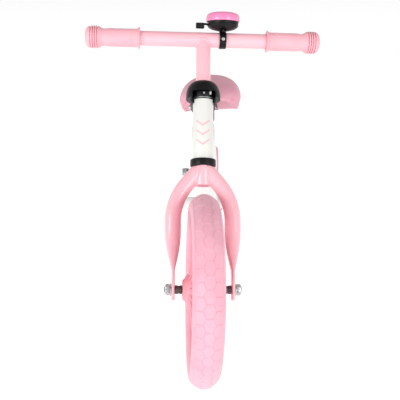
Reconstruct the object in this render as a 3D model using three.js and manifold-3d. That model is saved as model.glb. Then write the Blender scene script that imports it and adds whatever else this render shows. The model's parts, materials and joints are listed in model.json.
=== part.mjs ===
// A child's balance bike: steel frame and fork, two foam-tyred wheels, T handlebar with a bell,
// and a padded saddle on an adjustable post.
//
// Millimetres, +Z up, the bike faces -Y. The origin is on the ground, midway between the wheels.

import * as THREE from 'three';
import { mergeVertices } from 'three/addons/utils/BufferGeometryUtils.js';
import Module from 'manifold-3d';

const wasm = await Module();
wasm.setup();

// ---- driving dimensions -----------------------------------------------------------------------

const GAP = 0.3;                       // clearance between pieces that touch
const DEG = Math.PI / 180;

const WHEEL_R = 143;                   // outside of the tyre
const WHEELBASE = 556;
const TYRE_W = 44;
const RIM_R = 112;                     // where the tyre sits
const RIM_W = 34;
const SPOKES = 16;
const HUB_HALF = 31;                   // half the hub's width
const HUB_R = 26;
const BEARING_R = 11;
const BEARING_W = 7;

const HEAD_TILT = 21.3 * DEG;          // the steering axis leans back by this much
const FORK_RAKE = 10;                  // the front axle lies this far ahead of the steering axis
const STEER_REST = 5.4 * DEG;          // the bars rest turned slightly to the rider's left

// Heights along the steering axis, from axle height.
const CROWN_BOTTOM = 155;
const LOWER_CUP_BOTTOM = 184.7;
const HEAD_TUBE_BOTTOM = 196.2;
const HEAD_TUBE_TOP = 290.7;
const UPPER_CUP_TOP = 291.8;
const STEM_CLAMP_LOW = 294.2;
const DOME_BASE = 292;
const DOME_SKIRT_BOTTOM = 285.2;       // its skirt hides the top of the head tube
const DOME_TOP = 320.6;
const STEERER_TOP = 310;
const STEM_BOTTOM = 214;
const BAR_HEIGHT = 392;

const HEAD_TUBE_R = 16.2;
const HEAD_TUBE_BORE = 14.4;
const STEERER_R = 13.4;
const STEERER_BORE = 11.9;
const STEM_R = 11.5;
const BAR_R = 11.5;
const BAR_BORE = 9.7;
const BAR_HALF = 184.5;                // half the length of the steel crossbar
const GRIP_START = 101;
const GRIP_END = 187;

const LEG_R = 12.5;                    // fork leg and rear stay tube
const LEG_WALL = 1.8;
const LEG_X = 46;                      // where the legs run straight down
const DROPOUT_X = 44.9;                // centre of the flattened leg end
const DROPOUT_HALF = 2.5;
const DROPOUT_R = 16;
const LEG_BEND_R = 88;
const LEG_BEND_START = 100;            // height above the axle where the bend starts
const LEG_BEND = 40 * DEG;
const LEG_TOP_LENGTH = 30;             // straight length from the bend up into the crown

const AXLE_R = 4.8;
const AXLE_HALF = 58;
const SPACER_R = 6.5;

const STAY_RISE = 14 * DEG;            // the rear stays climb forward at this angle
const SEAT_TILT = 24 * DEG;
const SEAT_TUBE_Y = 94;                // seat tube axis at SEAT_TUBE_Z
const SEAT_TUBE_Z = 190;
const SEAT_TUBE_R = 16;
const SEAT_TUBE_BORE = 13.1;
const SEAT_TUBE_LOW = -14;             // along the seat tube axis, from that point
const SEAT_TUBE_TOP = 80;
const SEAT_CLAMP_AT = 70;
const POST_R = 12.7;
const POST_BORE = 11;
const POST_LOW = 20;
const POST_TOP = 189;
const BEAM_HALF_W = 21.5;
const BEAM_HALF_H = 26;
const BEAM_WALL = 2;

const SADDLE_NOSE_Y = 76;
const SADDLE_TAIL_Y = 308;
const SADDLE_YAW = -3.3 * DEG;          // the saddle sits slightly turned on its post
const SADDLE_ROLL = -3 * DEG;           // and slightly lower on the rider's right

const FRONT_AXLE = new THREE.Vector3(0, -WHEELBASE / 2, WHEEL_R);
const REAR_AXLE = new THREE.Vector3(0, WHEELBASE / 2, WHEEL_R);

// ---- materials --------------------------------------------------------------------------------

const finish = (color, roughness, metalness = 0) =>
  new THREE.MeshStandardMaterial({ color, roughness, metalness });

const pinkPaint = finish(0xf6b3be, 0.32);
const whitePaint = finish(0xeeece6, 0.35);
const gripRubber = finish(0xf29aa8, 0.6);
const tyreFoam = finish(0xeda6bb, 0.55);
const rimPlastic = finish(0xf59cac, 0.45);
const saddleVinyl = finish(0xe6a3b8, 0.55);
const blackPlastic = finish(0x17181b, 0.4);
const bellPaint = finish(0xff86c2, 0.25);
const zincSteel = finish(0xa9adb0, 0.35, 1);
const chromeSteel = finish(0xd6d9dc, 0.15, 1);

// ---- geometry helpers -------------------------------------------------------------------------

/** A geometry with shared corners, every face pointing outward. */
function closedSolid(geometry) {
  let solid = geometry.clone();
  for (const name of Object.keys(solid.attributes)) {
    if (name !== 'position') solid.deleteAttribute(name);
  }
  solid = mergeVertices(solid, 1e-4);
  const corners = solid.attributes.position;
  const kept = [];
  let volume = 0;
  const [a, b, c] = [new THREE.Vector3(), new THREE.Vector3(), new THREE.Vector3()];
  for (let i = 0; i < solid.index.count; i += 3) {
    const triangle = [0, 1, 2].map((k) => solid.index.getX(i + k));
    if (new Set(triangle).size < 3) continue;
    kept.push(...triangle);
    a.fromBufferAttribute(corners, triangle[0]);
    b.fromBufferAttribute(corners, triangle[1]);
    c.fromBufferAttribute(corners, triangle[2]);
    volume += a.dot(b.cross(c));
  }
  if (volume < 0) kept.reverse();
  solid.setIndex(kept);
  return solid;
}

function toManifold(geometry) {
  const solid = closedSolid(geometry);
  const vertProperties = new Float32Array(solid.attributes.position.array);
  const triVerts = new Uint32Array(solid.index.array);
  return new wasm.Manifold(new wasm.Mesh({ numProp: 3, vertProperties, triVerts }));
}

function fromManifold(body) {
  const mesh = body.getMesh();
  const geometry = new THREE.BufferGeometry();
  geometry.setAttribute('position', new THREE.BufferAttribute(new Float32Array(mesh.vertProperties), 3));
  geometry.setIndex(Array.from(mesh.triVerts));
  return geometry;
}

function cut(geometry, ...tools) {
  let body = toManifold(geometry);
  for (const tool of tools) body = body.subtract(toManifold(tool));
  return fromManifold(body);
}

function join(geometry, ...others) {
  let body = toManifold(geometry);
  for (const other of others) body = body.add(toManifold(other));
  return fromManifold(body);
}

/** A profile of [radius, height] pairs turned about Z; it starts and ends on the axis or closes. */
function turned(profile, segments = 32) {
  const points = profile.map(([r, z]) => new THREE.Vector2(r, z));
  return new THREE.LatheGeometry(points, segments).rotateX(Math.PI / 2);
}

function ring(outer, inner, low, high, segments = 28) {
  return turned([[outer, low], [outer, high], [inner, high], [inner, low], [outer, low]], segments);
}

function rod(radius, low, high, segments = 24) {
  return turned([[0, low], [radius, low], [radius, high], [0, high]], segments);
}

function box(x0, x1, y0, y1, z0, z1) {
  return new THREE.BoxGeometry(x1 - x0, y1 - y0, z1 - z0)
    .translate((x0 + x1) / 2, (y0 + y1) / 2, (z0 + z1) / 2);
}

/** Turns a shape built along Z so that it lies along X. */
const alongX = (geometry) => geometry.rotateY(Math.PI / 2);

/** A flat plate along Z with an outline and an optional round hole. */
function plate(outline, low, high, hole = 0, holeX = 0, holeY = 0) {
  const shape = new THREE.Shape(outline.map(([x, y]) => new THREE.Vector2(x, y)));
  if (hole > 0) shape.holes.push(new THREE.Path().absarc(holeX, holeY, hole, 0, 2 * Math.PI, true));
  const settings = { depth: high - low, bevelEnabled: false, curveSegments: 8 };
  return new THREE.ExtrudeGeometry(shape, settings).translate(0, 0, low);
}

function hexagon(acrossFlats) {
  const r = acrossFlats / Math.sqrt(3);
  return [0, 1, 2, 3, 4, 5].map((i) => [r * Math.cos(i * 60 * DEG), r * Math.sin(i * 60 * DEG)]);
}

/** A skin over a row of rings of points, closed with a fan at each end. */
function loft(rings) {
  const count = rings[0].length;
  const positions = [];
  const index = [];
  for (const points of rings) {
    for (const point of points) positions.push(point.x, point.y, point.z);
  }
  for (let i = 0; i < rings.length - 1; i += 1) {
    for (let j = 0; j < count; j += 1) {
      const [a, b] = [i * count + j, i * count + ((j + 1) % count)];
      index.push(a, b, b + count, a, b + count, a + count);
    }
  }
  for (const [at, flip] of [[0, true], [rings.length - 1, false]]) {
    const middle = new THREE.Vector3();
    for (const point of rings[at]) middle.addScaledVector(point, 1 / count);
    positions.push(middle.x, middle.y, middle.z);
    const centre = positions.length / 3 - 1;
    for (let j = 0; j < count; j += 1) {
      const [a, b] = [at * count + j, at * count + ((j + 1) % count)];
      index.push(centre, ...(flip ? [b, a] : [a, b]));
    }
  }
  const geometry = new THREE.BufferGeometry();
  geometry.setAttribute('position', new THREE.Float32BufferAttribute(positions, 3));
  geometry.setIndex(index);
  return geometry;
}

/** A rounded section: a circle at power 2, nearer a rectangle as the power grows. */
function section(centre, across, up, halfAcross, halfUp, power = 2, count = 16) {
  const points = [];
  for (let i = 0; i < count; i += 1) {
    const angle = (2 * Math.PI * i) / count;
    const [c, s] = [Math.cos(angle), Math.sin(angle)];
    const u = Math.sign(c) * Math.abs(c) ** (2 / power) * halfAcross;
    const v = Math.sign(s) * Math.abs(s) ** (2 / power) * halfUp;
    points.push(centre.clone().addScaledVector(across, u).addScaledVector(up, v));
  }
  return points;
}

const ease = (t) => {
  const s = Math.min(Math.max(t, 0), 1);
  return s * s * (3 - 2 * s);
};

/** The finished mesh of one sub-part. */
function piece(name, geometry, material) {
  const mesh = new THREE.Mesh(closedSolid(geometry), material);
  mesh.name = name;
  return mesh;
}

// ---- wheels -----------------------------------------------------------------------------------

/** Half of the tyre's section, from the middle of the tread to the rim seat. */
const TYRE_EDGE = [
  [WHEEL_R, 0], [WHEEL_R - 1.3, 7], [WHEEL_R - 5, 13.5], [WHEEL_R - 10.5, 18.6],
  [WHEEL_R - 18, TYRE_W / 2], [WHEEL_R - 26, 20.5], [RIM_R + GAP, 17],
];

function tyre() {
  const near = TYRE_EDGE.map(([r, x]) => [r, -x]).reverse();
  const far = TYRE_EDGE.slice(1);
  return alongX(turned([...near, ...far, near[0]], 48));
}

/** Plastic rim, spokes and hub, moulded in one. */
function rim() {
  const well = [
    [RIM_R, -RIM_W / 2], [RIM_R, RIM_W / 2], [RIM_R - 7, RIM_W / 2 - 4],
    [RIM_R - 7, 4 - RIM_W / 2], [RIM_R, -RIM_W / 2],
  ];
  const seat = BEARING_R + GAP;
  const shelf = HUB_HALF - BEARING_W - GAP;
  const hub = [
    [seat, -HUB_HALF], [15, -HUB_HALF], [HUB_R - 3, -24], [HUB_R, -17], [HUB_R, 17], [HUB_R - 3, 24],
    [15, HUB_HALF], [seat, HUB_HALF], [seat, shelf], [9, shelf], [9, -shelf], [seat, -shelf],
    [seat, -HUB_HALF],
  ];
  const spokes = [];
  for (let i = 0; i < SPOKES; i += 1) {
    const spoke = new THREE.Shape([
      new THREE.Vector2(HUB_R - 4, -22),
      new THREE.Vector2(RIM_R - 6, -11),
      new THREE.Vector2(RIM_R - 6, 11),
      new THREE.Vector2(HUB_R - 4, 22),
    ]);
    const solid = new THREE.ExtrudeGeometry(spoke, { depth: 4.4, bevelEnabled: false });
    solid.translate(0, 0, -2.2).rotateX(Math.PI / 2);
    spokes.push(solid.rotateZ((360 / SPOKES) * i * DEG));
  }
  return alongX(join(turned(well, 36), turned(hub, 22), ...spokes));
}

function wheel(name) {
  const group = new THREE.Group();
  group.add(piece(`${name}_tyre`, tyre(), tyreFoam));
  group.add(piece(`${name}_rim`, rim(), rimPlastic));
  for (const [side, sign] of [['left', 1], ['right', -1]]) {
    const [low, high] = [HUB_HALF - BEARING_W, HUB_HALF - 0.4];
    const bearing = alongX(ring(BEARING_R, AXLE_R + GAP, low, high, 16));
    if (sign < 0) bearing.rotateY(Math.PI);
    group.add(piece(`${name}_bearing_${side}`, bearing, zincSteel));
  }
  return group;
}

/** Axle rod with the spacers, washers and nuts that clamp the flattened tube ends. */
function axleSet(name) {
  const group = new THREE.Group();
  group.add(piece(`${name}_axle`, alongX(rod(AXLE_R, -AXLE_HALF, AXLE_HALF, 16)), zincSteel));
  const bore = AXLE_R + GAP;
  const inside = DROPOUT_X - DROPOUT_HALF - GAP;
  const outside = DROPOUT_X + DROPOUT_HALF + GAP;
  for (const [side, sign] of [['left', 1], ['right', -1]]) {
    const parts = {
      spacer: alongX(ring(SPACER_R, bore, HUB_HALF + GAP, inside, 14)),
      washer: alongX(ring(9.5, bore, outside, outside + 1.6, 14)),
      nut: alongX(plate(hexagon(15), outside + 1.6 + GAP, outside + 1.6 + GAP + 6.8, bore)),
    };
    for (const [kind, geometry] of Object.entries(parts)) {
      if (sign < 0) geometry.rotateY(Math.PI);
      group.add(piece(`${name}_${kind}_${side}`, geometry, zincSteel));
    }
  }
  return group;
}

// ---- fork legs and rear stays -----------------------------------------------------------------

/** Centre of a leg: straight up from the dropout, then bent in towards the crown. */
function legCentre(height, rake) {
  const lean = LEG_X - (LEG_X - DROPOUT_X) * ease(1 - height / LEG_BEND_START);
  return new THREE.Vector3(lean, -rake * ease(1 - height / 85), height);
}

/** Stations along a leg: centre, direction across it, half sizes and squareness. */
function legStations(rake, drop) {
  const stations = [];
  const push = (centre, across, halfAcross, halfUp, power) =>
    stations.push({ centre, across, halfAcross, halfUp, power });
  const straight = new THREE.Vector3(1, 0, 0);
  for (const [below, half] of [[DROPOUT_R, 4], [13, 9.3], [8, 13.9]]) {
    push(legCentre(drop - below, rake), straight, DROPOUT_HALF, half, 4);
  }
  for (const height of [drop, 25, 31, 38, 50, 66, 86]) {
    const round = Math.sin(90 * DEG * Math.min(Math.max((height - 25) / 62, 0), 1));
    const halfAcross = DROPOUT_HALF + (LEG_R - DROPOUT_HALF) * round;
    const halfUp = DROPOUT_R + (LEG_R - DROPOUT_R) * round;
    push(legCentre(height, rake), straight, halfAcross, halfUp, 4 - 2 * round);
  }
  push(legCentre(LEG_BEND_START, rake), straight, LEG_R, LEG_R, 2);
  for (let i = 1; i <= 5; i += 1) {
    const angle = (LEG_BEND * i) / 5;
    const across = new THREE.Vector3(Math.cos(angle), 0, Math.sin(angle));
    const centre = new THREE.Vector3(LEG_X - LEG_BEND_R, 0, LEG_BEND_START);
    push(centre.addScaledVector(across, LEG_BEND_R), across, LEG_R, LEG_R, 2);
  }
  const last = stations[stations.length - 1];
  const onward = new THREE.Vector3(-Math.sin(LEG_BEND), 0, Math.cos(LEG_BEND));
  const end = last.centre.clone().addScaledVector(onward, LEG_TOP_LENGTH);
  push(end, last.across, LEG_R, LEG_R, 2);
  return stations;
}

/** A hollow leg, its lower end pressed flat around the axle, coped by the given tools. */
function leg(rake, side, ...tools) {
  const drop = -rake * Math.tan(HEAD_TILT);
  const back = new THREE.Vector3(0, 1, 0);
  const stations = legStations(rake, drop);
  const outer = stations.map((s) => section(s.centre, s.across, back, s.halfAcross, s.halfUp, s.power, 14));
  const inner = stations.slice(7).map((s) =>
    section(s.centre, s.across, back, s.halfAcross - LEG_WALL, s.halfUp - LEG_WALL, s.power, 10));
  const onward = new THREE.Vector3(-Math.sin(LEG_BEND), 0, Math.cos(LEG_BEND));
  inner.push(inner[inner.length - 1].map((p) => p.clone().addScaledVector(onward, 8)));
  const hole = alongX(rod(AXLE_R + GAP, DROPOUT_X - 20, DROPOUT_X + 20, 20)).translate(0, -rake, drop);
  const solid = cut(loft(outer), loft(inner), hole);
  if (side < 0) solid.scale(-1, 1, 1);
  return cut(solid, ...tools);
}

// ---- steering: fork, headset, handlebar -------------------------------------------------------

function forkPieces(group) {
  const crown = rod(STEERER_R + GAP, CROWN_BOTTOM - 40, 230, 28);
  const above = box(-60, 60, -40, 40, LOWER_CUP_BOTTOM - GAP, 260);
  group.add(piece('fork_leg_left', leg(FORK_RAKE, 1, crown, above), pinkPaint));
  group.add(piece('fork_leg_right', leg(FORK_RAKE, -1, crown, above), pinkPaint));
  const steerer = turned([
    [0, CROWN_BOTTOM], [STEERER_R, CROWN_BOTTOM], [STEERER_R, STEERER_TOP], [STEERER_BORE, STEERER_TOP],
    [STEERER_BORE, CROWN_BOTTOM + 40], [0, CROWN_BOTTOM + 40],
  ], 28);
  group.add(piece('fork_steerer', steerer, pinkPaint));
}

/** Cups pressed into the head tube, each with a bearing around the steerer. */
function headsetPieces(group) {
  const spigot = HEAD_TUBE_BORE - GAP;
  const seat = STEERER_R + 2.4;
  const lowerTop = HEAD_TUBE_BOTTOM - GAP;
  const lower = turned([
    [20, LOWER_CUP_BOTTOM + 1], [20, lowerTop], [spigot, lowerTop], [spigot, lowerTop + 7],
    [STEERER_R + 0.4, lowerTop + 7], [STEERER_R + 0.4, lowerTop - 2], [seat, lowerTop - 2],
    [seat, LOWER_CUP_BOTTOM], [19, LOWER_CUP_BOTTOM], [20, LOWER_CUP_BOTTOM + 1],
  ], 24);
  group.add(piece('lower_headset_cup', lower, blackPlastic));
  const lowerBearing = ring(seat - GAP, STEERER_R + GAP, LOWER_CUP_BOTTOM + 0.4, lowerTop - 2 - GAP, 18);
  group.add(piece('lower_headset_bearing', lowerBearing, zincSteel));
  const upperLow = HEAD_TUBE_TOP + GAP;
  const upper = turned([
    [spigot, upperLow - 7], [spigot, upperLow], [HEAD_TUBE_R, upperLow], [HEAD_TUBE_R, UPPER_CUP_TOP],
    [STEERER_R + 0.4, UPPER_CUP_TOP], [STEERER_R + 0.4, upperLow - 7], [spigot, upperLow - 7],
  ], 24);
  group.add(piece('upper_headset_cup', upper, blackPlastic));
  const upperBearing = ring(seat, STEERER_R + GAP, UPPER_CUP_TOP + GAP, STEM_CLAMP_LOW - 0.5, 18);
  group.add(piece('upper_headset_bearing', upperBearing, zincSteel));
}

/** Collar that pinches the steerer onto the stem, its screw, and the dome that hides them. */
function stemClampPieces(group) {
  const [low, high] = [STEM_CLAMP_LOW, STEERER_TOP - 2];
  const collar = ring(17.5, STEERER_R + GAP, low, high, 28);
  const ears = box(-8, 8, -22, -15.5, low, high - 6);
  const slot = box(-1.4, 1.4, -26, -10, low - 2, high + 2);
  const atScrew = (geometry) => alongX(geometry).translate(0, -18.6, low + 4.6);
  const screwHole = atScrew(rod(2.4, -12, 12, 14));
  const clamp = cut(join(collar, ears), slot, rod(STEERER_R + GAP, low - 5, high + 5, 28), screwHole);
  group.add(piece('stem_clamp_collar', clamp, blackPlastic));
  const screw = join(rod(3.4, 8.4, 11.4, 14), rod(2.1, -8, 9, 12));
  group.add(piece('stem_clamp_screw', atScrew(screw), zincSteel));

  const base = DOME_BASE;
  const skin = (radius, top, hole) => {
    const points = [[radius, base]];
    for (let i = 0; i <= 4; i += 1) {
      const angle = (90 * DEG * i) / 4;
      const r = hole + (radius - hole) * Math.cos(angle);
      points.push([r, base + 5 + (top - base - 5) * Math.sin(angle)]);
    }
    return points;
  };
  const hole = STEM_R + 0.4;
  const outer = skin(27.2, DOME_TOP, hole);
  const inner = skin(25, DOME_TOP - 2.4, hole).reverse();
  const dome = turned([...outer, ...inner, outer[0]], 28);
  const skirt = turned([
    [20.6, DOME_SKIRT_BOTTOM], [20.6, base], [26, base], [26, base + 1.6], [16.7, base + 1.6],
    [16.7, DOME_SKIRT_BOTTOM], [20.6, DOME_SKIRT_BOTTOM],
  ], 28);
  const window = box(-18, 18, -40, -8, DOME_SKIRT_BOTTOM - 5, base + 9);
  group.add(piece('dome_cover', cut(join(dome, skirt), window), blackPlastic));
}

/** Crossbar and stem, one welded T of tube. */
function handlebar() {
  const bar = alongX(rod(BAR_R, -BAR_HALF, BAR_HALF, 24)).translate(0, 0, BAR_HEIGHT);
  const stem = rod(STEM_R, STEM_BOTTOM, BAR_HEIGHT, 24);
  const under = BAR_HEIGHT - BAR_R;
  const weld = turned([[0, under - 5], [STEM_R, under - 5], [STEM_R + 2.6, under + 2], [0, under + 5]], 24);
  weld.scale(1, 0.78, 1);
  const barBore = alongX(rod(BAR_BORE, -BAR_HALF - 5, BAR_HALF + 5, 20)).translate(0, 0, BAR_HEIGHT);
  const stemBore = rod(BAR_BORE, STEM_BOTTOM - 5, BAR_HEIGHT, 20);
  return cut(join(bar, stem, weld), barBore, stemBore);
}

/** Rubber grip: thin guard disc, barrel, and a ribbed round knob that covers the bar's end. */
function grip(side) {
  const bore = BAR_R + GAP;
  const profile = [
    [bore, GRIP_START], [17, GRIP_START], [17, GRIP_START + 2.6], [14.6, GRIP_START + 3.4],
    [14.2, 130], [14.3, 152], [13.2, 156], [13.4, 160], [16.2, 164.5], [17.5, 169.5], [17.5, 179],
    [15.5, 184.5], [10, GRIP_END], [0, GRIP_END], [0, BAR_HALF + GAP], [bore, BAR_HALF + GAP],
    [bore, GRIP_START],
  ];
  const solid = alongX(turned(profile, 20)).translate(0, 0, BAR_HEIGHT);
  return side < 0 ? solid.scale(-1, 1, 1) : solid;
}

// ---- bell -------------------------------------------------------------------------------------

const BELL_X = 30.6;                   // along the crossbar, to the viewer's right of the stem
const BELL_LEAN = 16 * DEG;            // the bell is turned forward around the bar by this much
const BELL_RIM = 28.4;                 // height of the dome's lower edge above the bar's centre
const BELL_TOP = 43;
const BELL_R = 27;
const BELL_SCREW_Z = 0.4;
const LEVER_PIVOT = [-15, 8];
const LEVER_SECTOR_R = 11.5;
const GEAR_R = 5.1;

function bellBase() {
  const bowl = turned([
    [0, 14.2], [17, 14.6], [22.8, 17.4], [25, 21.8], [25, BELL_RIM - 0.4],
    [23, BELL_RIM - 0.4], [23, 22.6], [21.2, 19.4], [16, 18], [3.2, 18], [3.2, 38.6], [0, 38.6],
  ], 24);
  const neck = box(-5.3, 5.3, -9, 9, BAR_R + 2 + GAP, 15);
  const pin = rod(2, 17, BELL_RIM - 0.6, 12).translate(...LEVER_PIVOT, 0);
  const notch = box(-28, -18.5, -11, 10.5, 22.6, BELL_RIM + 1);
  return cut(join(bowl, neck, pin), notch);
}

function bellDome() {
  const shoulder = 6.5;
  const wall = 1.4;
  const skin = (radius, top) => {
    const points = [];
    for (let i = 0; i <= 3; i += 1) {
      const angle = (90 * DEG * i) / 3;
      const r = radius - shoulder * (1 - Math.cos(angle));
      points.push([r, top - shoulder * (1 - Math.sin(angle))]);
    }
    return points;
  };
  const outer = [
    [BELL_R - 0.5, BELL_RIM], [BELL_R, BELL_RIM + 2], ...skin(BELL_R, BELL_TOP), [0, BELL_TOP + 1],
  ];
  const inside = [...skin(BELL_R - wall, BELL_TOP - wall)].reverse();
  const inner = [
    [0, BELL_TOP - wall], ...inside, [BELL_R - wall, BELL_RIM + 2], [BELL_R - 0.5 - wall, BELL_RIM],
  ];
  return turned([...outer, ...inner, outer[0]], 28);
}

function bellBand() {
  const band = alongX(ring(BAR_R + 2, BAR_R + GAP, -5.3, 5.3, 24));
  const lug = box(-5.3, 5.3, -15.5, -10.5, -5.4, 4.8);
  const bore = alongX(rod(BAR_R + GAP, -10, 10, 24));
  const screwHole = rod(1.9, 0, 20, 12).rotateX(Math.PI / 2).translate(0, 0, BELL_SCREW_Z);
  return cut(join(band, lug), bore, screwHole);
}

function bellLever() {
  const [px, py] = LEVER_PIVOT;
  const sector = [];
  const towardsGear = Math.atan2(-py, -px);
  for (let i = -3; i <= 3; i += 1) {
    const angle = towardsGear + i * 12 * DEG;
    sector.push([px + LEVER_SECTOR_R * Math.cos(angle), py + LEVER_SECTOR_R * Math.sin(angle)]);
  }
  const heel = [[px - 1, py + 4.4], [px - 4.6, py + 1], [px - 4.4, py - 3.4]];
  const wedge = plate([...sector, ...heel], 23.4, 26.4, 2.4, px, py);
  const arm = plate([[px - 2, py - 4.2], [px - 3.4, py + 1.2], [-31, 3], [-31, -2]], 23.4, 26.4);
  const paddle = box(-43, -29.5, -3, 4.6, 16.8, 26.6);
  return join(wedge, arm, paddle);
}

function bellGear() {
  const gear = rod(GEAR_R, 23.4, 30.6, 20);
  const arm = box(-19, 19, -2.6, 2.6, 28.6, 30.6);
  const weights = [-19, 19].map((x) => rod(4, 28.6, 31.6, 16).translate(x, 0, 0));
  return cut(join(gear, arm, ...weights), rod(3.2 + GAP, 20, 35, 20));
}

function bellPieces(group) {
  group.add(piece('bell_clamp_band', bellBand(), blackPlastic));
  const screw = turned([[0, 12], [1.6, 12], [1.6, 15.8], [2.7, 15.8], [2.7, 17], [0, 17.5]], 14);
  screw.rotateX(Math.PI / 2).translate(0, 0, BELL_SCREW_Z);
  group.add(piece('bell_clamp_screw', screw, zincSteel));
  group.add(piece('bell_base', bellBase(), blackPlastic));
  group.add(piece('bell_dome', cut(bellDome(), rod(3.2 + GAP, 36, BELL_TOP - 1.6, 16)), bellPaint));
  group.add(piece('bell_lever', bellLever(), blackPlastic));
  group.add(piece('bell_gear', bellGear(), zincSteel));
  const spring = ring(3.4, 2.3, 19.8, 22.9, 16).translate(...LEVER_PIVOT, 0);
  group.add(piece('bell_spring', spring, zincSteel));
}

// ---- frame ------------------------------------------------------------------------------------

/** Places a shape built along its own Z on the steering axis, measured from axle height. */
function onSteeringAxis(geometry) {
  return geometry.rotateX(-HEAD_TILT)
    .translate(0, FRONT_AXLE.y + FORK_RAKE / Math.cos(HEAD_TILT), WHEEL_R);
}

function onSeatAxis(geometry) {
  return geometry.rotateX(-SEAT_TILT).translate(0, SEAT_TUBE_Y, SEAT_TUBE_Z);
}

/** The beam's centre line: out of the head tube, down, then level into the seat tube. */
const beamPath = new THREE.CubicBezierCurve3(
  new THREE.Vector3(0, -180, 366),
  new THREE.Vector3(0, -98, 338),
  new THREE.Vector3(0, 0, 214),
  new THREE.Vector3(0, SEAT_TUBE_Y, SEAT_TUBE_Z + 4),
);

function beamSkin(inset, count) {
  const rings = [];
  const steps = 10;
  for (let i = 0; i <= steps; i += 1) {
    const t = i / steps;
    const along = beamPath.getTangent(t);
    const up = new THREE.Vector3(0, -along.z, along.y);
    const halfW = BEAM_HALF_W * (0.78 + 0.22 * ease(t / 0.4)) * (1 - 0.1 * t) - inset;
    const halfH = BEAM_HALF_H * (1 - 0.16 * t) - inset;
    rings.push(section(beamPath.getPoint(t), new THREE.Vector3(1, 0, 0), up, halfW, halfH, 2.6, count));
  }
  return loft(rings);
}

function mainBeam() {
  const headTube = onSteeringAxis(rod(HEAD_TUBE_R + GAP, 150, 340, 32));
  const seatTube = onSeatAxis(rod(SEAT_TUBE_R + GAP, -60, 120, 32));
  const hollow = cut(beamSkin(0, 18), beamSkin(BEAM_WALL, 12));
  const coped = toManifold(cut(hollow, headTube, seatTube));
  const largest = coped.decompose().sort((a, b) => b.volume() - a.volume())[0];
  return fromManifold(largest);
}

/** Short tube from the seat tube to the rear wheel, with a stay welded on each side. */
function rearForkPieces(group) {
  const turn = STAY_RISE - 90 * DEG;
  const toFrame = (geometry) => geometry.rotateX(-turn).translate(REAR_AXLE.x, REAR_AXLE.y, REAR_AXLE.z);
  const seatTube = () => onSeatAxis(rod(SEAT_TUBE_R + GAP, -60, 120, 32));
  const yoke = cut(toFrame(ring(STEERER_R, 10.5, CROWN_BOTTOM, 200, 24)), seatTube());
  const farBack = (solid) => solid.boundingBox().max[1];
  const nearest = toManifold(yoke).decompose().sort((a, b) => farBack(b) - farBack(a))[0];
  group.add(piece('rear_yoke', fromManifold(nearest), whitePaint));
  for (const [name, side] of [['left', 1], ['right', -1]]) {
    const stay = leg(0, side, rod(STEERER_R + GAP, CROWN_BOTTOM - 40, 230, 24));
    group.add(piece(`rear_stay_${name}`, cut(toFrame(stay), seatTube()), whitePaint));
  }
}

function framePieces(group) {
  const headTube = ring(HEAD_TUBE_R, HEAD_TUBE_BORE, HEAD_TUBE_BOTTOM, HEAD_TUBE_TOP, 32);
  group.add(piece('head_tube', onSteeringAxis(headTube), whitePaint));
  group.add(piece('main_beam', mainBeam(), whitePaint));
  const seatTube = ring(SEAT_TUBE_R, SEAT_TUBE_BORE, SEAT_TUBE_LOW, SEAT_TUBE_TOP, 32);
  group.add(piece('seat_tube', onSeatAxis(seatTube), whitePaint));
  rearForkPieces(group);
}

// ---- seat clamp and seat ----------------------------------------------------------------------

const CLAMP_EAR_Y = 25.5;              // skewer, behind the seat tube's axis
const LEVER_X = -47;                   // the quick-release lever's cam, on the rider's right
const LEVER_DROP = 6 * DEG;           // below square to the seat tube, when closed

/** Collar around the top of the seat tube, with the quick-release skewer across its ears. */
function seatClampPieces(group) {
  const [low, high] = [SEAT_CLAMP_AT - 9, SEAT_CLAMP_AT + 9];
  const collar = ring(SEAT_TUBE_R + 4, SEAT_TUBE_R + GAP, low, high, 28);
  const ears = box(-9, 9, 15.5, 32, low, high);
  const slot = box(-1.6, 1.6, 10, 35, low - 2, high + 2);
  const tubeHole = rod(SEAT_TUBE_R + GAP, low - 5, high + 5, 28);
  const skewerHole = alongX(rod(2.9, -20, 20, 14)).translate(0, CLAMP_EAR_Y, SEAT_CLAMP_AT);
  group.add(piece('seat_clamp_collar', cut(join(collar, ears), slot, tubeHole, skewerHole), blackPlastic));
  const at = (geometry) => alongX(geometry).translate(0, CLAMP_EAR_Y, SEAT_CLAMP_AT);
  const pin = onCam(rod(2, -7.2, 7.2, 14));
  const skewer = join(at(rod(2.5, LEVER_X - 2, 22, 14)), pin);
  group.add(piece('seat_clamp_skewer', skewer, zincSteel));
  group.add(piece('seat_clamp_nut', at(ring(5.6, 2.5 + GAP, 9.4, 18.5, 16)), zincSteel));
  group.add(piece('seat_clamp_spacer', at(ring(5, 2.5 + GAP, LEVER_X + 8.4, -9.4, 16)), zincSteel));
}

/** Places a shape on the lever's pivot: its Z along the cam pin, its Y along the closed lever. */
function onCam(geometry) {
  return geometry.rotateX(-LEVER_DROP).translate(LEVER_X, CLAMP_EAR_Y, SEAT_CLAMP_AT);
}

/** Quick-release lever: two cam cheeks astride the skewer, and a flat arm. */
function quickReleaseLever() {
  const cam = rod(8, -6.4, 6.4, 20);
  const slot = box(-12, 12, -12, 3.8, -3.4, 3.4);
  const pinHole = rod(2.3, -10, 10, 14);
  const outline = [[6, -6.2], [38, -5.2], [50, -6.6], [54, -3], [54, 3], [50, 6.6], [38, 5.2], [6, 6.2]];
  const arm = plate(outline, -2.6, 2.6).rotateX(90 * DEG).rotateZ(90 * DEG);
  return onCam(join(cut(cam, slot, pinHole), arm));
}

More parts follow.
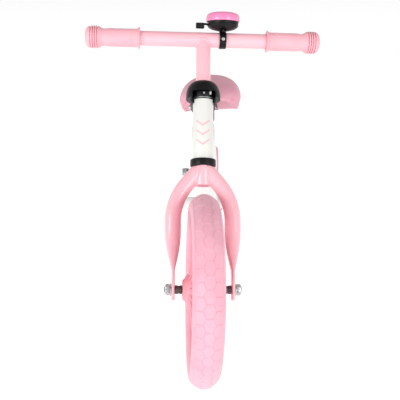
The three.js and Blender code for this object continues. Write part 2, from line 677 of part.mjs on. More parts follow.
/** Height of the saddle's lower edge, its top, and its half width, at t from nose to tail. */
const saddleEdge = (t) =>
  384 + 6 * ease(t / 0.3) - 27 * ease((t - 0.4) / 0.34) + 7 * ease((t - 0.84) / 0.16);
const saddleTop = (t) => 405 + 5 * ease((0.3 - t) / 0.3) + 37 * ease((t - 0.25) / 0.65);
function saddleHalfWidth(t) {
  const nose = 23 * Math.sqrt(Math.min(1, Math.max(0, t) / 0.09));
  const flare = 45 * ease((t - 0.24) / 0.46);
  const tail = Math.sqrt(Math.max(0, 1 - Math.max(0, (t - 0.8) / 0.2) ** 2.4));
  return (nose + flare) * tail;
}

function saddleRings(inset, bottom, top, samples, widest = SADDLE_TAIL_Y) {
  const rings = [];
  for (const t of samples) {
    const y = SADDLE_NOSE_Y + (SADDLE_TAIL_Y - SADDLE_NOSE_Y) * t;
    const halfW = Math.min(Math.max(saddleHalfWidth(t) - inset, 1.5), widest);
    const [low, high] = [saddleEdge(t) + bottom, top(t)];
    const points = [new THREE.Vector3(halfW * 0.93, y, low)];
    for (let i = 0; i <= 8; i += 1) {
      const angle = (180 * DEG * i) / 8;
      const x = halfW * Math.sign(Math.cos(angle)) * Math.abs(Math.cos(angle)) ** 0.84;
      const rise = Math.sin(angle) ** 0.84;
      const waist = low + (high - low) * 0.28;
      points.push(new THREE.Vector3(x, y, waist + (high - waist) * rise));
    }
    points.push(new THREE.Vector3(-halfW * 0.93, y, low));
    rings.push(points);
  }
  return rings;
}

const PAN_HALF_WIDTH = 19;
const BRACKET_Y = 173;                 // middle of the clamp under the saddle
const BRACKET_TOP = 391;
const SADDLE_SAMPLES = [0.004, 0.03, 0.08, 0.16, 0.26, 0.38, 0.5, 0.62, 0.74, 0.83, 0.9, 0.95, 0.98, 0.996];
const PAN_SAMPLES = [0.16, 0.26, 0.38, 0.5, 0.62, 0.74, 0.83, 0.9];

/** The stiff pan under the padding, or with an allowance the pocket that it sits in. */
function saddlePan(allowance, bottom) {
  const top = (t) => saddleEdge(t) + 9 + allowance;
  const ends = [0.07 - allowance / 200, ...PAN_SAMPLES, 0.925 + allowance / 200];
  return onSaddle(loft(saddleRings(8 - allowance, bottom, top, ends, PAN_HALF_WIDTH + allowance)));
}

/** Turns and tilts a shape drawn square to the bike about the top of the seat post. */
function onSaddle(geometry) {
  return geometry.translate(0, -BRACKET_Y, -BRACKET_TOP).rotateY(SADDLE_ROLL).rotateZ(SADDLE_YAW)
    .translate(0, BRACKET_Y, BRACKET_TOP);
}

function saddlePieces(group) {
  const cover = onSaddle(loft(saddleRings(0, 0, saddleTop, SADDLE_SAMPLES)));
  group.add(piece('saddle_cover', cut(cover, saddlePan(4, -6)), saddleVinyl));
  group.add(piece('saddle_base', saddlePan(0, 1.5), blackPlastic));
}

const CLAMP_HALF_WIDTH = 14;
const CLAMP_BOLT_Z = 376.4;
const CLAMP_BOLT_HEAD = 17.4;          // outer face of the head, on the rider's left
const CLAMP_BOLT_END = -40;            // threaded end, past the disc and the nut

/** Post, the clamp that holds the saddle on its top, and the clamp's cross bolt. */
function seatPostPieces(group) {
  group.add(piece('seat_post', onSeatAxis(ring(POST_R, POST_BORE, POST_LOW, POST_TOP, 28)), chromeSteel));
  const block = box(-CLAMP_HALF_WIDTH, CLAMP_HALF_WIDTH, BRACKET_Y - 20, BRACKET_Y + 20, 350, BRACKET_TOP);
  const socket = onSeatAxis(rod(POST_R + GAP, 100, POST_TOP + GAP, 28));
  const across = (geometry) => alongX(geometry).translate(0, BRACKET_Y, CLAMP_BOLT_Z);
  const bracket = cut(block, saddlePan(0.6, 1.1), socket, across(rod(3.4, -30, 30, 14)));
  group.add(piece('saddle_clamp', bracket, blackPlastic));
  const right = -CLAMP_HALF_WIDTH - GAP;
  const head = rod(5.5, CLAMP_HALF_WIDTH + GAP, CLAMP_BOLT_HEAD, 16);
  const bolt = join(across(rod(3, CLAMP_BOLT_END, CLAMP_HALF_WIDTH + 1, 14)), across(head));
  group.add(piece('saddle_clamp_bolt', bolt, zincSteel));
  const disc = turned([
    [3 + GAP, right - 19], [9, right - 19], [9, right - 11], [6, right - 11], [6, right], [3 + GAP, right],
    [3 + GAP, right - 19],
  ], 20);
  group.add(piece('saddle_clamp_disc', across(disc), zincSteel));
  const nut = plate(hexagon(10), CLAMP_BOLT_END + 1, right - 19 - GAP, 3.3);
  group.add(piece('saddle_clamp_nut', across(nut), zincSteel));
}

// ---- the bike ---------------------------------------------------------------------------------

const bike = new THREE.Group();

framePieces(bike);

const headset = new THREE.Group();
headset.position.set(0, FRONT_AXLE.y + FORK_RAKE / Math.cos(HEAD_TILT), WHEEL_R);
headset.rotation.x = -HEAD_TILT;
headsetPieces(headset);
bike.add(headset);

const steering = new THREE.Group();
steering.rotation.z = STEER_REST;
headset.add(steering);
forkPieces(steering);
stemClampPieces(steering);
steering.add(piece('handlebar', handlebar(), pinkPaint));
steering.add(piece('grip_left', grip(1), gripRubber));
steering.add(piece('grip_right', grip(-1), gripRubber));

const bell = new THREE.Group();
bell.position.set(BELL_X, 0, BAR_HEIGHT);
bell.rotation.x = BELL_LEAN;
bellPieces(bell);
steering.add(bell);

const frontWheel = new THREE.Group();
frontWheel.position.set(0, -FORK_RAKE, -FORK_RAKE * Math.tan(HEAD_TILT));
frontWheel.add(wheel('front'), axleSet('front'));
steering.add(frontWheel);

const rearWheel = new THREE.Group();
rearWheel.position.copy(REAR_AXLE);
rearWheel.add(wheel('rear'), axleSet('rear'));
bike.add(rearWheel);

const seatMast = new THREE.Group();
seatMast.position.set(0, SEAT_TUBE_Y, SEAT_TUBE_Z);
seatMast.rotation.x = -SEAT_TILT;
seatClampPieces(seatMast);
seatMast.add(piece('seat_clamp_lever', quickReleaseLever(), zincSteel));
bike.add(seatMast);

seatPostPieces(bike);
saddlePieces(bike);

export default bike;
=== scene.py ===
"""A child's balance bike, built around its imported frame."""
import json
import math

import bmesh
import bpy
from mathutils import Matrix, Vector
from mathutils.bvhtree import BVHTree

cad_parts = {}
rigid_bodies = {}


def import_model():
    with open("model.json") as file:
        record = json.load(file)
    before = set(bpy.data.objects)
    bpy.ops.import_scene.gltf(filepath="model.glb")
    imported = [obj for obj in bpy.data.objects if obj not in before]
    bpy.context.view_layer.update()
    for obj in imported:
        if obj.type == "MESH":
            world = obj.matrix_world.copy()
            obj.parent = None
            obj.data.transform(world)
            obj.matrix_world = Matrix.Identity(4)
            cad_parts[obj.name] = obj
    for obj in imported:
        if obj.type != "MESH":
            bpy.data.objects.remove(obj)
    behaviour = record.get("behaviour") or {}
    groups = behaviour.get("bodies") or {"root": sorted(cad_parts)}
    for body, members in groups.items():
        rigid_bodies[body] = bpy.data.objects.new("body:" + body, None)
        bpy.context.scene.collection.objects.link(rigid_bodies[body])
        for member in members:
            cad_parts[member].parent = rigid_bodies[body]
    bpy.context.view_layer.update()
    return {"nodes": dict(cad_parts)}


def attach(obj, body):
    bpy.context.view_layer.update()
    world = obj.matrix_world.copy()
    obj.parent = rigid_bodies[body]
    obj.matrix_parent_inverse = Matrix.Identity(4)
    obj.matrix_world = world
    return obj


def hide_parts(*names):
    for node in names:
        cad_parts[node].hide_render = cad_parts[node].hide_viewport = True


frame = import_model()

# Shapes are drawn in millimetres, each in its own place on the bike.
MM = 0.001
TURN = 2 * math.pi

HEAD_TILT = math.radians(21.3)
STEER_REST = math.radians(5.4)
SEAT_TILT = math.radians(24)
STAY_RISE = math.radians(14)
BELL_LEAN = math.radians(16)
LEVER_DROP = math.radians(6)
FORK_RAKE = 10
WHEEL_R = 143
BAR_HEIGHT = 392
BAR_HALF = 184.5
TUBE_R = 11.5
STEERER_R = 13.4
HEAD_TUBE_R = 16.2
SEAT_TUBE_R = 16
CROWN_BOTTOM = 155
LOWER_CUP_BOTTOM = 184.7
HEAD_TUBE_TOP = 290.7
CUP_TOP = 291.8
STEM_CLAMP_LOW = 294.2


def shift(x, y, z):
    return Matrix.Translation((x, y, z))


def turn(angle, axis):
    return Matrix.Rotation(angle, 4, axis)


ALONG_X = turn(math.pi / 2, "Y")
FLIP_X = Matrix.Scale(-1, 4, (1, 0, 0))
PLAIN = Matrix.Identity(4)
HEADSET = shift(0, -267.267, WHEEL_R) @ turn(-HEAD_TILT, "X")
STEERING = HEADSET @ turn(STEER_REST, "Z")
BELL = STEERING @ shift(30.6, 0, BAR_HEIGHT) @ turn(BELL_LEAN, "X")
FRONT_WHEEL = STEERING @ shift(0, -FORK_RAKE, -FORK_RAKE * math.tan(HEAD_TILT))
REAR_WHEEL = shift(0, 278, WHEEL_R)
REAR_FORK = REAR_WHEEL @ turn(math.pi / 2 - STAY_RISE, "X")
SEAT_MAST = shift(0, 94, 190) @ turn(-SEAT_TILT, "X")
SEAT_CAM = SEAT_MAST @ shift(-47, 25.5, 70) @ turn(-LEVER_DROP, "X")
# The saddle sits slightly turned, and slightly lower on the rider's right, about the top of its clamp.
CLAMP_Y = 173
CLAMP_TOP = 391
CLAMP_BOLT_Z = 376.4
SADDLE_YAW = math.radians(-3.3)
SADDLE_ROLL = math.radians(-3)
SADDLE_LIE = turn(SADDLE_YAW, "Z") @ turn(SADDLE_ROLL, "Y")
SADDLE = shift(0, CLAMP_Y, CLAMP_TOP) @ SADDLE_LIE @ shift(0, -CLAMP_Y, -CLAMP_TOP)
SADDLE_BOLT = shift(0, CLAMP_Y, CLAMP_BOLT_Z) @ ALONG_X


# ---- finishes -----------------------------------------------------------------------------------

def rgb(code):
    """Linear colour from a six-digit web code."""
    parts = [int(code[i:i + 2], 16) / 255 for i in (0, 2, 4)]
    return [p / 12.92 if p <= 0.04045 else ((p + 0.055) / 1.055) ** 2.4 for p in parts]


class Finish:
    """A material on Object coordinates, with helpers to wire its nodes."""

    def __init__(self, name, **sockets):
        self.material = bpy.data.materials.new(name)
        self.material.use_nodes = True
        self.nodes = self.material.node_tree.nodes
        self.links = self.material.node_tree.links
        self.shader = self.nodes["Principled BSDF"]
        self.place = self.nodes.new("ShaderNodeTexCoord").outputs["Object"]
        for socket, value in sockets.items():
            self.shader.inputs[socket.replace("_", " ")].default_value = value

    def noise(self, scale, detail=2.0, roughness=0.5, stretch=None):
        node = self.nodes.new("ShaderNodeTexNoise")
        node.inputs["Scale"].default_value = scale
        node.inputs["Detail"].default_value = detail
        node.inputs["Roughness"].default_value = roughness
        place = self.place
        if stretch:
            mapping = self.nodes.new("ShaderNodeMapping")
            mapping.inputs["Scale"].default_value = stretch
            self.links.new(place, mapping.inputs["Vector"])
            place = mapping.outputs["Vector"]
        self.links.new(place, node.inputs["Vector"])
        return node.outputs["Fac"]

    def cells(self, scale, feature="F1"):
        node = self.nodes.new("ShaderNodeTexVoronoi")
        node.feature = feature
        node.inputs["Scale"].default_value = scale
        self.links.new(self.place, node.inputs["Vector"])
        return node.outputs["Distance"]

    def spread(self, source, low, high, start=0.3, end=0.7):
        node = self.nodes.new("ShaderNodeMapRange")
        for socket, value in (("From Min", start), ("From Max", end), ("To Min", low), ("To Max", high)):
            node.inputs[socket].default_value = value
        self.links.new(source, node.inputs["Value"])
        return node.outputs["Result"]

    def colour(self, source, *stops):
        """Base colour from a ramp of (position, web code) stops."""
        ramp = self.nodes.new("ShaderNodeValToRGB")
        elements = ramp.color_ramp.elements
        while len(elements) < len(stops):
            elements.new(0.5)
        for element, (position, code) in zip(elements, stops):
            element.position = position
            element.color = (*rgb(code), 1)
        self.links.new(source, ramp.inputs["Fac"])
        self.links.new(ramp.outputs["Color"], self.shader.inputs["Base Color"])
        return self

    def gloss(self, source, low, high):
        self.links.new(self.spread(source, low, high), self.shader.inputs["Roughness"])
        return self

    def bump(self, *layers):
        """Relief from (source, strength, distance in mm) layers, the coarse one first."""
        normal = None
        for source, strength, height in layers:
            node = self.nodes.new("ShaderNodeBump")
            node.inputs["Strength"].default_value = strength
            node.inputs["Distance"].default_value = height * MM
            self.links.new(source, node.inputs["Height"])
            if normal:
                self.links.new(normal, node.inputs["Normal"])
            normal = node.outputs["Normal"]
        self.links.new(normal, self.shader.inputs["Normal"])
        return self


def pink_paint():
    """Gloss enamel over steel tube, with a faint orange-peel surface."""
    finish = Finish("pink_enamel", Specular_IOR_Level=0.5, Coat_Weight=0.5, Coat_Roughness=0.12)
    finish.colour(finish.noise(18, 3), (0.3, "f1b1bc"), (0.7, "f4b8c2"))
    finish.gloss(finish.noise(60, 3), 0.28, 0.38)
    finish.bump((finish.noise(420, 2), 0.12, 0.25), (finish.noise(2600, 1), 0.05, 0.06))
    return finish.material


def white_paint():
    finish = Finish("white_powder_coat", Specular_IOR_Level=0.5, Coat_Weight=0.35, Coat_Roughness=0.18)
    finish.colour(finish.noise(14, 3), (0.3, "d9d9d4"), (0.7, "dfdfdb"))
    finish.gloss(finish.noise(70, 3), 0.3, 0.42)
    finish.bump((finish.noise(520, 2), 0.16, 0.25), (finish.noise(3000, 1), 0.06, 0.06))
    return finish.material


def grip_rubber():
    finish = Finish("soft_pink_rubber", Specular_IOR_Level=0.4, Sheen_Weight=0.15, Sheen_Roughness=0.5)
    finish.colour(finish.noise(40, 4), (0.3, "eba7b2"), (0.7, "efafb9"))
    finish.gloss(finish.noise(90, 3), 0.5, 0.62)
    finish.bump((finish.noise(900, 3), 0.25, 0.2), (finish.cells(2400), 0.12, 0.1))
    return finish.material


def tyre_foam():
    """Moulded foam: matte skin with fine pores and slightly uneven colour."""
    finish = Finish("moulded_foam", Specular_IOR_Level=0.35, Sheen_Weight=0.2, Sheen_Roughness=0.45)
    finish.colour(finish.noise(30, 5, 0.6), (0.3, "e3a2b3"), (0.5, "e8a9b9"), (0.7, "ebafbd"))
    finish.gloss(finish.noise(70, 4), 0.46, 0.62)
    finish.bump((finish.noise(260, 4), 0.25, 0.3), (finish.cells(1500), 0.3, 0.15))
    return finish.material


def rim_plastic():
    finish = Finish("rim_plastic", Specular_IOR_Level=0.5)
    finish.colour(finish.noise(25, 3), (0.3, "ec97a6"), (0.7, "f09fad"))
    finish.gloss(finish.noise(60, 3), 0.34, 0.46)
    finish.bump((finish.noise(700, 3), 0.15, 0.15), (finish.noise(2400, 2), 0.08, 0.06))
    return finish.material


def saddle_vinyl():
    """Soft vinyl with a fine leather grain."""
    finish = Finish("saddle_vinyl", Specular_IOR_Level=0.35, Sheen_Weight=0.08, Sheen_Roughness=0.4)
    finish.colour(finish.noise(22, 4), (0.3, "d998a9"), (0.7, "dfa1b1"))
    finish.gloss(finish.noise(50, 3), 0.42, 0.55)
    grain = finish.cells(700, "SMOOTH_F1")
    finish.bump((finish.noise(55, 3), 0.15, 0.6), (grain, 0.35, 0.25), (finish.noise(2200, 3), 0.12, 0.08))
    return finish.material


def black_plastic():
    finish = Finish("black_satin_plastic", Specular_IOR_Level=0.24)
    finish.colour(finish.noise(40, 4), (0.3, "090a0b"), (0.7, "0e0f11"))
    finish.gloss(finish.noise(80, 4), 0.3, 0.46)
    finish.bump((finish.noise(1100, 3), 0.2, 0.12), (finish.noise(3200, 2), 0.08, 0.05))
    return finish.material


def bell_paint():
    finish = Finish("bell_lacquer", Specular_IOR_Level=0.4, Coat_Weight=0.5, Coat_Roughness=0.06)
    finish.colour(finish.noise(35, 3), (0.3, "e67fac"), (0.7, "ea88b3"))
    finish.gloss(finish.noise(90, 3), 0.16, 0.26)
    finish.bump((finish.noise(600, 2), 0.08, 0.15), (finish.noise(180, 2, stretch=(0.2, 0.2, 6)), 0.06, 0.2))
    return finish.material


def zinc_steel():
    """Zinc-plated fastener steel, slightly cloudy."""
    finish = Finish("zinc_plated_steel", Metallic=0.85)
    finish.colour(finish.noise(220, 5, 0.6), (0.25, "a3a7a9"), (0.55, "c3c6c7"), (0.8, "d4d6d5"))
    finish.gloss(finish.noise(260, 4), 0.24, 0.44)
    finish.bump((finish.noise(900, 3), 0.2, 0.1), (finish.noise(3600, 2), 0.1, 0.04))
    return finish.material


def dark_steel():
    """Oiled steel of the spacers and threads."""
    finish = Finish("dark_steel", Metallic=0.9)
    finish.colour(finish.noise(200, 5, 0.6), (0.25, "4c4a49"), (0.75, "77726f"))
    finish.gloss(finish.noise(240, 4), 0.3, 0.5)
    finish.bump((finish.noise(1000, 3), 0.2, 0.1))
    return finish.material


def faint_pink():
    """Thin pale pink print over the white paint."""
    finish = Finish("pale_pink_print", Specular_IOR_Level=0.5, Coat_Weight=0.35, Coat_Roughness=0.18)
    finish.colour(finish.noise(30, 3), (0.3, "e0b4bb"), (0.7, "e5bcc2"))
    finish.gloss(finish.noise(70, 3), 0.3, 0.42)
    finish.bump((finish.noise(520, 2), 0.16, 0.25))
    return finish.material


def chrome_steel():
    finish = Finish("chromed_tube", Metallic=1.0)
    finish.colour(finish.noise(120, 4), (0.3, "c2c5c8"), (0.7, "cfd2d4"))
    finish.gloss(finish.noise(160, 4), 0.08, 0.18)
    finish.bump((finish.noise(800, 2, stretch=(1, 1, 8)), 0.05, 0.05))
    return finish.material


FINISHES = {
    "pink_paint": pink_paint(),
    "white_paint": white_paint(),
    "grip_rubber": grip_rubber(),
    "tyre_foam": tyre_foam(),
    "rim_plastic": rim_plastic(),
    "saddle_vinyl": saddle_vinyl(),
    "black_plastic": black_plastic(),
    "bell_paint": bell_paint(),
    "zinc_steel": zinc_steel(),
    "chrome_steel": chrome_steel(),
}
DARK_STEEL = dark_steel()
FAINT_PINK = faint_pink()


# ---- ways of shaping ----------------------------------------------------------------------------

def ease(t):
    s = min(max(t, 0.0), 1.0)
    return s * s * (3 - 2 * s)


def rounded(points, radius=0.6, steps=3, closed=False):
    """A profile with its corners rounded; a third value in a point is that corner's own radius."""
    flat = [Vector(p[:2]) for p in points]
    count = len(points)
    corners = range(count) if closed else range(1, count - 1)
    out = [] if closed else [tuple(flat[0])]
    for i in corners:
        here = flat[i]
        back, onward = flat[i - 1] - here, flat[(i + 1) % count] - here
        wanted = points[i][2] if len(points[i]) > 2 else radius
        reach = min(wanted, back.length * 0.45, onward.length * 0.45)
        if reach < 0.02:
            out.append(tuple(here))
            continue
        start, end = here + back.normalized() * reach, here + onward.normalized() * reach
        for k in range(steps + 1):
            t = k / steps
            out.append(tuple(start * (1 - t) ** 2 + here * (2 * t * (1 - t)) + end * t * t))
    if not closed:
        out.append(tuple(flat[-1]))
    return out


def spun(profile, steps=64, closed=False):
    """A profile of (radius, height) points, turned a full circle about Z."""
    shape = bmesh.new()
    verts = [shape.verts.new((r, 0, z)) for r, z in profile]
    edges = [shape.edges.new(pair) for pair in zip(verts, verts[1:])]
    if closed:
        edges.append(shape.edges.new((verts[-1], verts[0])))
    bmesh.ops.spin(shape, geom=verts + edges, cent=(0, 0, 0), axis=(0, 0, 1), angle=TURN, steps=steps,
                   use_merge=True)
    bmesh.ops.remove_doubles(shape, verts=shape.verts[:], dist=0.001)
    bmesh.ops.recalc_face_normals(shape, faces=shape.faces[:])
    return shape


def tube(outer, inner, low, high, edge=0.6, steps=64):
    """A round tube along Z with softened ends."""
    return spun(rounded([(outer, low), (outer, high), (inner, high), (inner, low)], edge, closed=True), steps,
                True)


def rod(radius, low, high, edge=0.5, steps=48):
    profile = rounded([(0, low), (radius, low), (radius, high), (0, high)], edge)
    return spun(profile, steps)


def skin(rings, closed=False):
    """A skin bridged over a row of equal rings of points; ends are capped unless the row closes."""
    shape = bmesh.new()
    loops = []
    for ring in rings:
        verts = [shape.verts.new(p) for p in ring]
        loops.append([shape.edges.new((verts[i - 1], verts[i])) for i in range(len(verts))])
    pairs = list(zip(loops, loops[1:]))
    if closed:
        pairs.append((loops[-1], loops[0]))
    for one, other in pairs:
        bmesh.ops.bridge_loops(shape, edges=one + other)
    if not closed:
        bmesh.ops.holes_fill(shape, edges=loops[0] + loops[-1], sides=0)
    bmesh.ops.recalc_face_normals(shape, faces=shape.faces[:])
    return shape


def circle(centre, across, up, radius, count=20):
    return [centre + across * (radius * math.cos(TURN * i / count))
            + up * (radius * math.sin(TURN * i / count))
            for i in range(count)]


def squared(centre, across, up, half_across, half_up, power, count=32):
    """A rounded section: a circle at power 2, nearer a rectangle as the power grows."""
    points = []
    for i in range(count):
        c, s = math.cos(TURN * i / count), math.sin(TURN * i / count)
        u = math.copysign(abs(c) ** (2 / power), c) * half_across
        v = math.copysign(abs(s) ** (2 / power), s) * half_up
        points.append(centre + across * u + up * v)
    return points


def bead(path, radius, count=10, ripple=0.12):
    """A closed weld bead along a loop of points, with the small ripples of the weld."""
    rings = []
    total = len(path)
    middle = sum((Vector(p) for p in path), Vector()) / total
    for i in range(total):
        here = Vector(path[i])
        along = (Vector(path[(i + 1) % total]) - Vector(path[i - 1])).normalized()
        out = (here - middle)
        out = (out - along * out.dot(along)).normalized()
        size = radius * (1 + ripple * math.sin(i * 2.4) * math.sin(i * 0.7 + 1))
        rings.append(circle(here, out, along.cross(out), size, count))
    return skin(rings, closed=True)


def block(x0, x1, y0, y1, z0, z1, edge=0.8, segments=3):
    """A moulded block with rounded edges."""
    shape = bmesh.new()
    bmesh.ops.create_cube(shape, size=1)
    bmesh.ops.scale(shape, vec=(x1 - x0, y1 - y0, z1 - z0), verts=shape.verts[:])
    bmesh.ops.translate(shape, vec=((x0 + x1) / 2, (y0 + y1) / 2, (z0 + z1) / 2), verts=shape.verts[:])
    soften(shape, edge, segments)
    return shape


def soften(shape, edge, segments=3, edges=None):
    bmesh.ops.bevel(shape, geom=edges or shape.edges[:], offset=edge, offset_type="OFFSET", segments=segments,
                    profile=0.5, affect="EDGES", material=-1, clamp_overlap=True)


def plate(outline, low, high, edge=0.5, segments=2):
    """A flat plate with an outline of (x, y) points, thickness along Z, and softened rims."""
    shape = bmesh.new()
    face = shape.faces.new([shape.verts.new((x, y, low)) for x, y in outline])
    grown = bmesh.ops.extrude_face_region(shape, geom=[face])["geom"]
    bmesh.ops.translate(shape, vec=(0, 0, high - low),
                        verts=[g for g in grown if isinstance(g, bmesh.types.BMVert)])
    bmesh.ops.recalc_face_normals(shape, faces=shape.faces[:])
    rims = [e for e in shape.edges if abs(e.verts[0].co.z - e.verts[1].co.z) < 1e-4]
    if edge:
        soften(shape, edge, segments, rims)
    return shape


def hexed(shape, across_flats):
    """Turned stock milled to six flats: the corners stay round where the stock is narrower."""
    for vert in shape.verts:
        radius = math.hypot(vert.co.x, vert.co.y)
        if radius > 1e-6:
            angle = math.atan2(vert.co.y, vert.co.x) % (TURN / 6) - TURN / 12
            share = min(1, across_flats / 2 / math.cos(angle) / radius)
            vert.co.x *= share
            vert.co.y *= share
    return shape


def placed(shape, place):
    """The shape moved by a matrix, its faces still outward."""
    shape.transform(place)
    if place.determinant() < 0:
        bmesh.ops.reverse_faces(shape, faces=shape.faces[:])
    return shape


def gathered(*shapes):
    """Several shapes as one piece."""
    whole = bmesh.new()
    for shape in shapes:
        scrap = bpy.data.meshes.new("scrap")
        shape.to_mesh(scrap)
        shape.free()
        whole.from_mesh(scrap)
        bpy.data.meshes.remove(scrap)
    return whole


def boolean(shape, tool, operation="DIFFERENCE"):
    """The shape cut by, or joined to, another."""
    scene = bpy.context.scene.collection.objects
    made = []
    for label, source in (("work", shape), ("tool", tool)):
        mesh = bpy.data.meshes.new(label)
        source.to_mesh(mesh)
        source.free()
        made.append(bpy.data.objects.new(label, mesh))
        scene.link(made[-1])
    work, cutter = made
    modifier = work.modifiers.new("cut", "BOOLEAN")
    modifier.operation = operation
    modifier.solver = "EXACT"
    modifier.object = cutter
    graph = bpy.context.evaluated_depsgraph_get()
    result = bmesh.new()
    result.from_mesh(work.evaluated_get(graph).to_mesh())
    for obj in made:
        mesh = obj.data
        bpy.data.objects.remove(obj)
        bpy.data.meshes.remove(mesh)
    return result


def piece(name, shape, place, body, slot, *nodes, material=None, sharp=32):
    """A finished piece: in its place on the bike, riding on its body, standing for its CAD nodes."""
    placed(shape, Matrix.Scale(MM, 4) @ place)
    mesh = bpy.data.meshes.new(name)
    shape.to_mesh(mesh)
    shape.free()
    mesh.shade_smooth()
    mesh.set_sharp_from_angle(angle=math.radians(sharp))
    obj = bpy.data.objects.new(name, mesh)
    bpy.context.scene.collection.objects.link(obj)
    mesh.materials.append(material or FINISHES[slot])
    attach(obj, body)
    if nodes:
        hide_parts(*nodes)
    return obj


# ---- wheels -------------------------------------------------------------------------------------

TREAD_PITCHES = 48
ROWS = 4                                 # rows of faces to a pitch of the tread
TREAD_DEPTH = 0.6
SHOULDER = 17.0
BLOCK_EDGE = 6.2                         # half width of the middle row of blocks
BLOCK_ZIGZAG = 2.0


def tread_radius(x):
    return WHEEL_R - 0.0262 * x * x - 7e-6 * x ** 4


def tyre_profile():
    """Half of the tyre's outer line, from the middle of the tread to the rim, as (radius, x)."""
    tread = [(tread_radius(x) - TREAD_DEPTH, x) for x in (0, 2.4, BLOCK_EDGE, 12.2, SHOULDER)]
    side = [(133.2, 18.9), (130.6, 20.5), (128.0, 21.5), (125.0, 22.0), (122.6, 21.8), (122.0, 21.2),
            (121.4, 21.6), (118.6, 20.9), (116.0, 19.9), (113.6, 18.3), (112.3, 17.0)]
    return tread + side


def tyre_shape():
    half = tyre_profile()
    near = [(r, -x) for r, x in half[:0:-1]]
    seat = [(112.3, 8), (112.3, -8)]
    steps = TREAD_PITCHES * ROWS
    shape = spun(near + half + seat, steps, closed=True)
    step = TURN / steps
    blocks = {}
    for face in shape.faces:
        middle = face.calc_center_median()
        x, row = middle.z, int((math.atan2(middle.y, middle.x) % TURN) / step)
        if math.hypot(middle.x, middle.y) < 128 or abs(x) > SHOULDER:
            continue
        if abs(x) < BLOCK_EDGE:
            blocks.setdefault(("middle", row // ROWS), []).append(face)
        else:
            side = "left" if x > 0 else "right"
            blocks.setdefault((side, ((row + ROWS // 2) // ROWS) % TREAD_PITCHES), []).append(face)
    for vert in shape.verts:
        radius, angle = math.hypot(vert.co.x, vert.co.y), math.atan2(vert.co.y, vert.co.x)
        x = vert.co.z
        if radius > 128 and abs(abs(x) - BLOCK_EDGE) < 0.1:
            row = round(angle / step) % ROWS
            x = math.copysign(BLOCK_EDGE + BLOCK_ZIGZAG * (-1, 0, 1, 0)[row], x)
            radius = tread_radius(x) - TREAD_DEPTH
            vert.co = (radius * math.cos(angle), radius * math.sin(angle), x)
    for faces in blocks.values():
        bmesh.ops.inset_region(shape, faces=faces, thickness=0.5, depth=TREAD_DEPTH, use_boundary=True,
                               use_even_offset=True)
    return placed(shape, ALONG_X)


def spoke_shape():
    """One flat spoke with flared feet, standing on the hub along Y."""
    rings = []
    for r, half_wide, half_thick in ((22, 23, 4.2), (26, 21.6, 2.8), (32, 20.2, 2.3), (60, 16.4, 2.1),
                                     (92, 12.2, 2.1), (101, 11.6, 2.6), (107, 12.4, 4.0)):
        rings.append(squared(Vector((0, r, 0)), Vector((1, 0, 0)), Vector((0, 0, 1)), half_thick, half_wide,
                             5, 24))
    return skin(rings)


def rim_shape():
    well = rounded([(111.9, -17, 0.8), (111.9, -13.5, 0.6), (109.4, -12.4, 0.6), (109.4, 12.4, 0.6),
                    (111.9, 13.5, 0.6),
                    (111.9, 17, 0.8), (108.4, 17, 1.2), (105.2, 13.4, 2), (104.4, 0, 3), (105.2, -13.4, 2),
                    (108.4, -17, 1.2)], closed=True)
    hub = rounded([(11.3, -31, 0.4), (14.8, -31, 1.0), (16.4, -28.6, 1.5), (22.6, -24.6, 1.6),
                   (26, -17.6, 2.5),
                   (24.6, 0, 8), (26, 17.6, 2.5), (22.6, 24.6, 1.6), (16.4, 28.6, 1.5), (14.8, 31, 1.0),
                   (11.3, 31, 0.4),
                   (11.3, 23.7, 0.2), (9, 23.7, 0.3), (9, -23.7, 0.3), (11.3, -23.7, 0.2)], closed=True)
    spokes = spoke_shape()
    bmesh.ops.spin(spokes, geom=spokes.verts[:] + spokes.edges[:] + spokes.faces[:], cent=(0, 0, 0),
                   axis=(0, 0, 1),
                   angle=TURN * 15 / 16, steps=15, use_duplicate=True)
    return placed(gathered(spun(well, 96, True), spun(hub, 64, True), spokes), ALONG_X)


def thread(radius, low, high, pitch=1.0, depth=0.42):
    """The profile of a threaded stretch, as (radius, height) points."""
    points = []
    z = low
    while z + pitch <= high + 1e-6:
        points += [(radius - depth, z), (radius, z + pitch * 0.35), (radius, z + pitch * 0.65)]
        z += pitch
    return points


def axle_shape():
    half = [(4.8, 46)] + thread(4.8, 46.4, 57.0) + [(4.3, 57.3), (3.4, 58), (0, 58)]
    low = [(r, -z) for r, z in half[::-1]]
    return placed(spun(low + half, 32), ALONG_X)


def nut_shape(low, high, across, bore, collar=0.0):
    """A hexagon nut with chamfered corners, along Z."""
    corner = across / math.sqrt(3)
    profile = [(bore, low + 0.6), (bore + 0.5, low), (across / 2 + collar, low), (corner, low + 1.1),
               (corner, high - 1.1),
               (across / 2 - 0.2, high), (bore + 0.6, high), (bore, high - 0.6)]
    return hexed(spun(profile, 96, True), across)


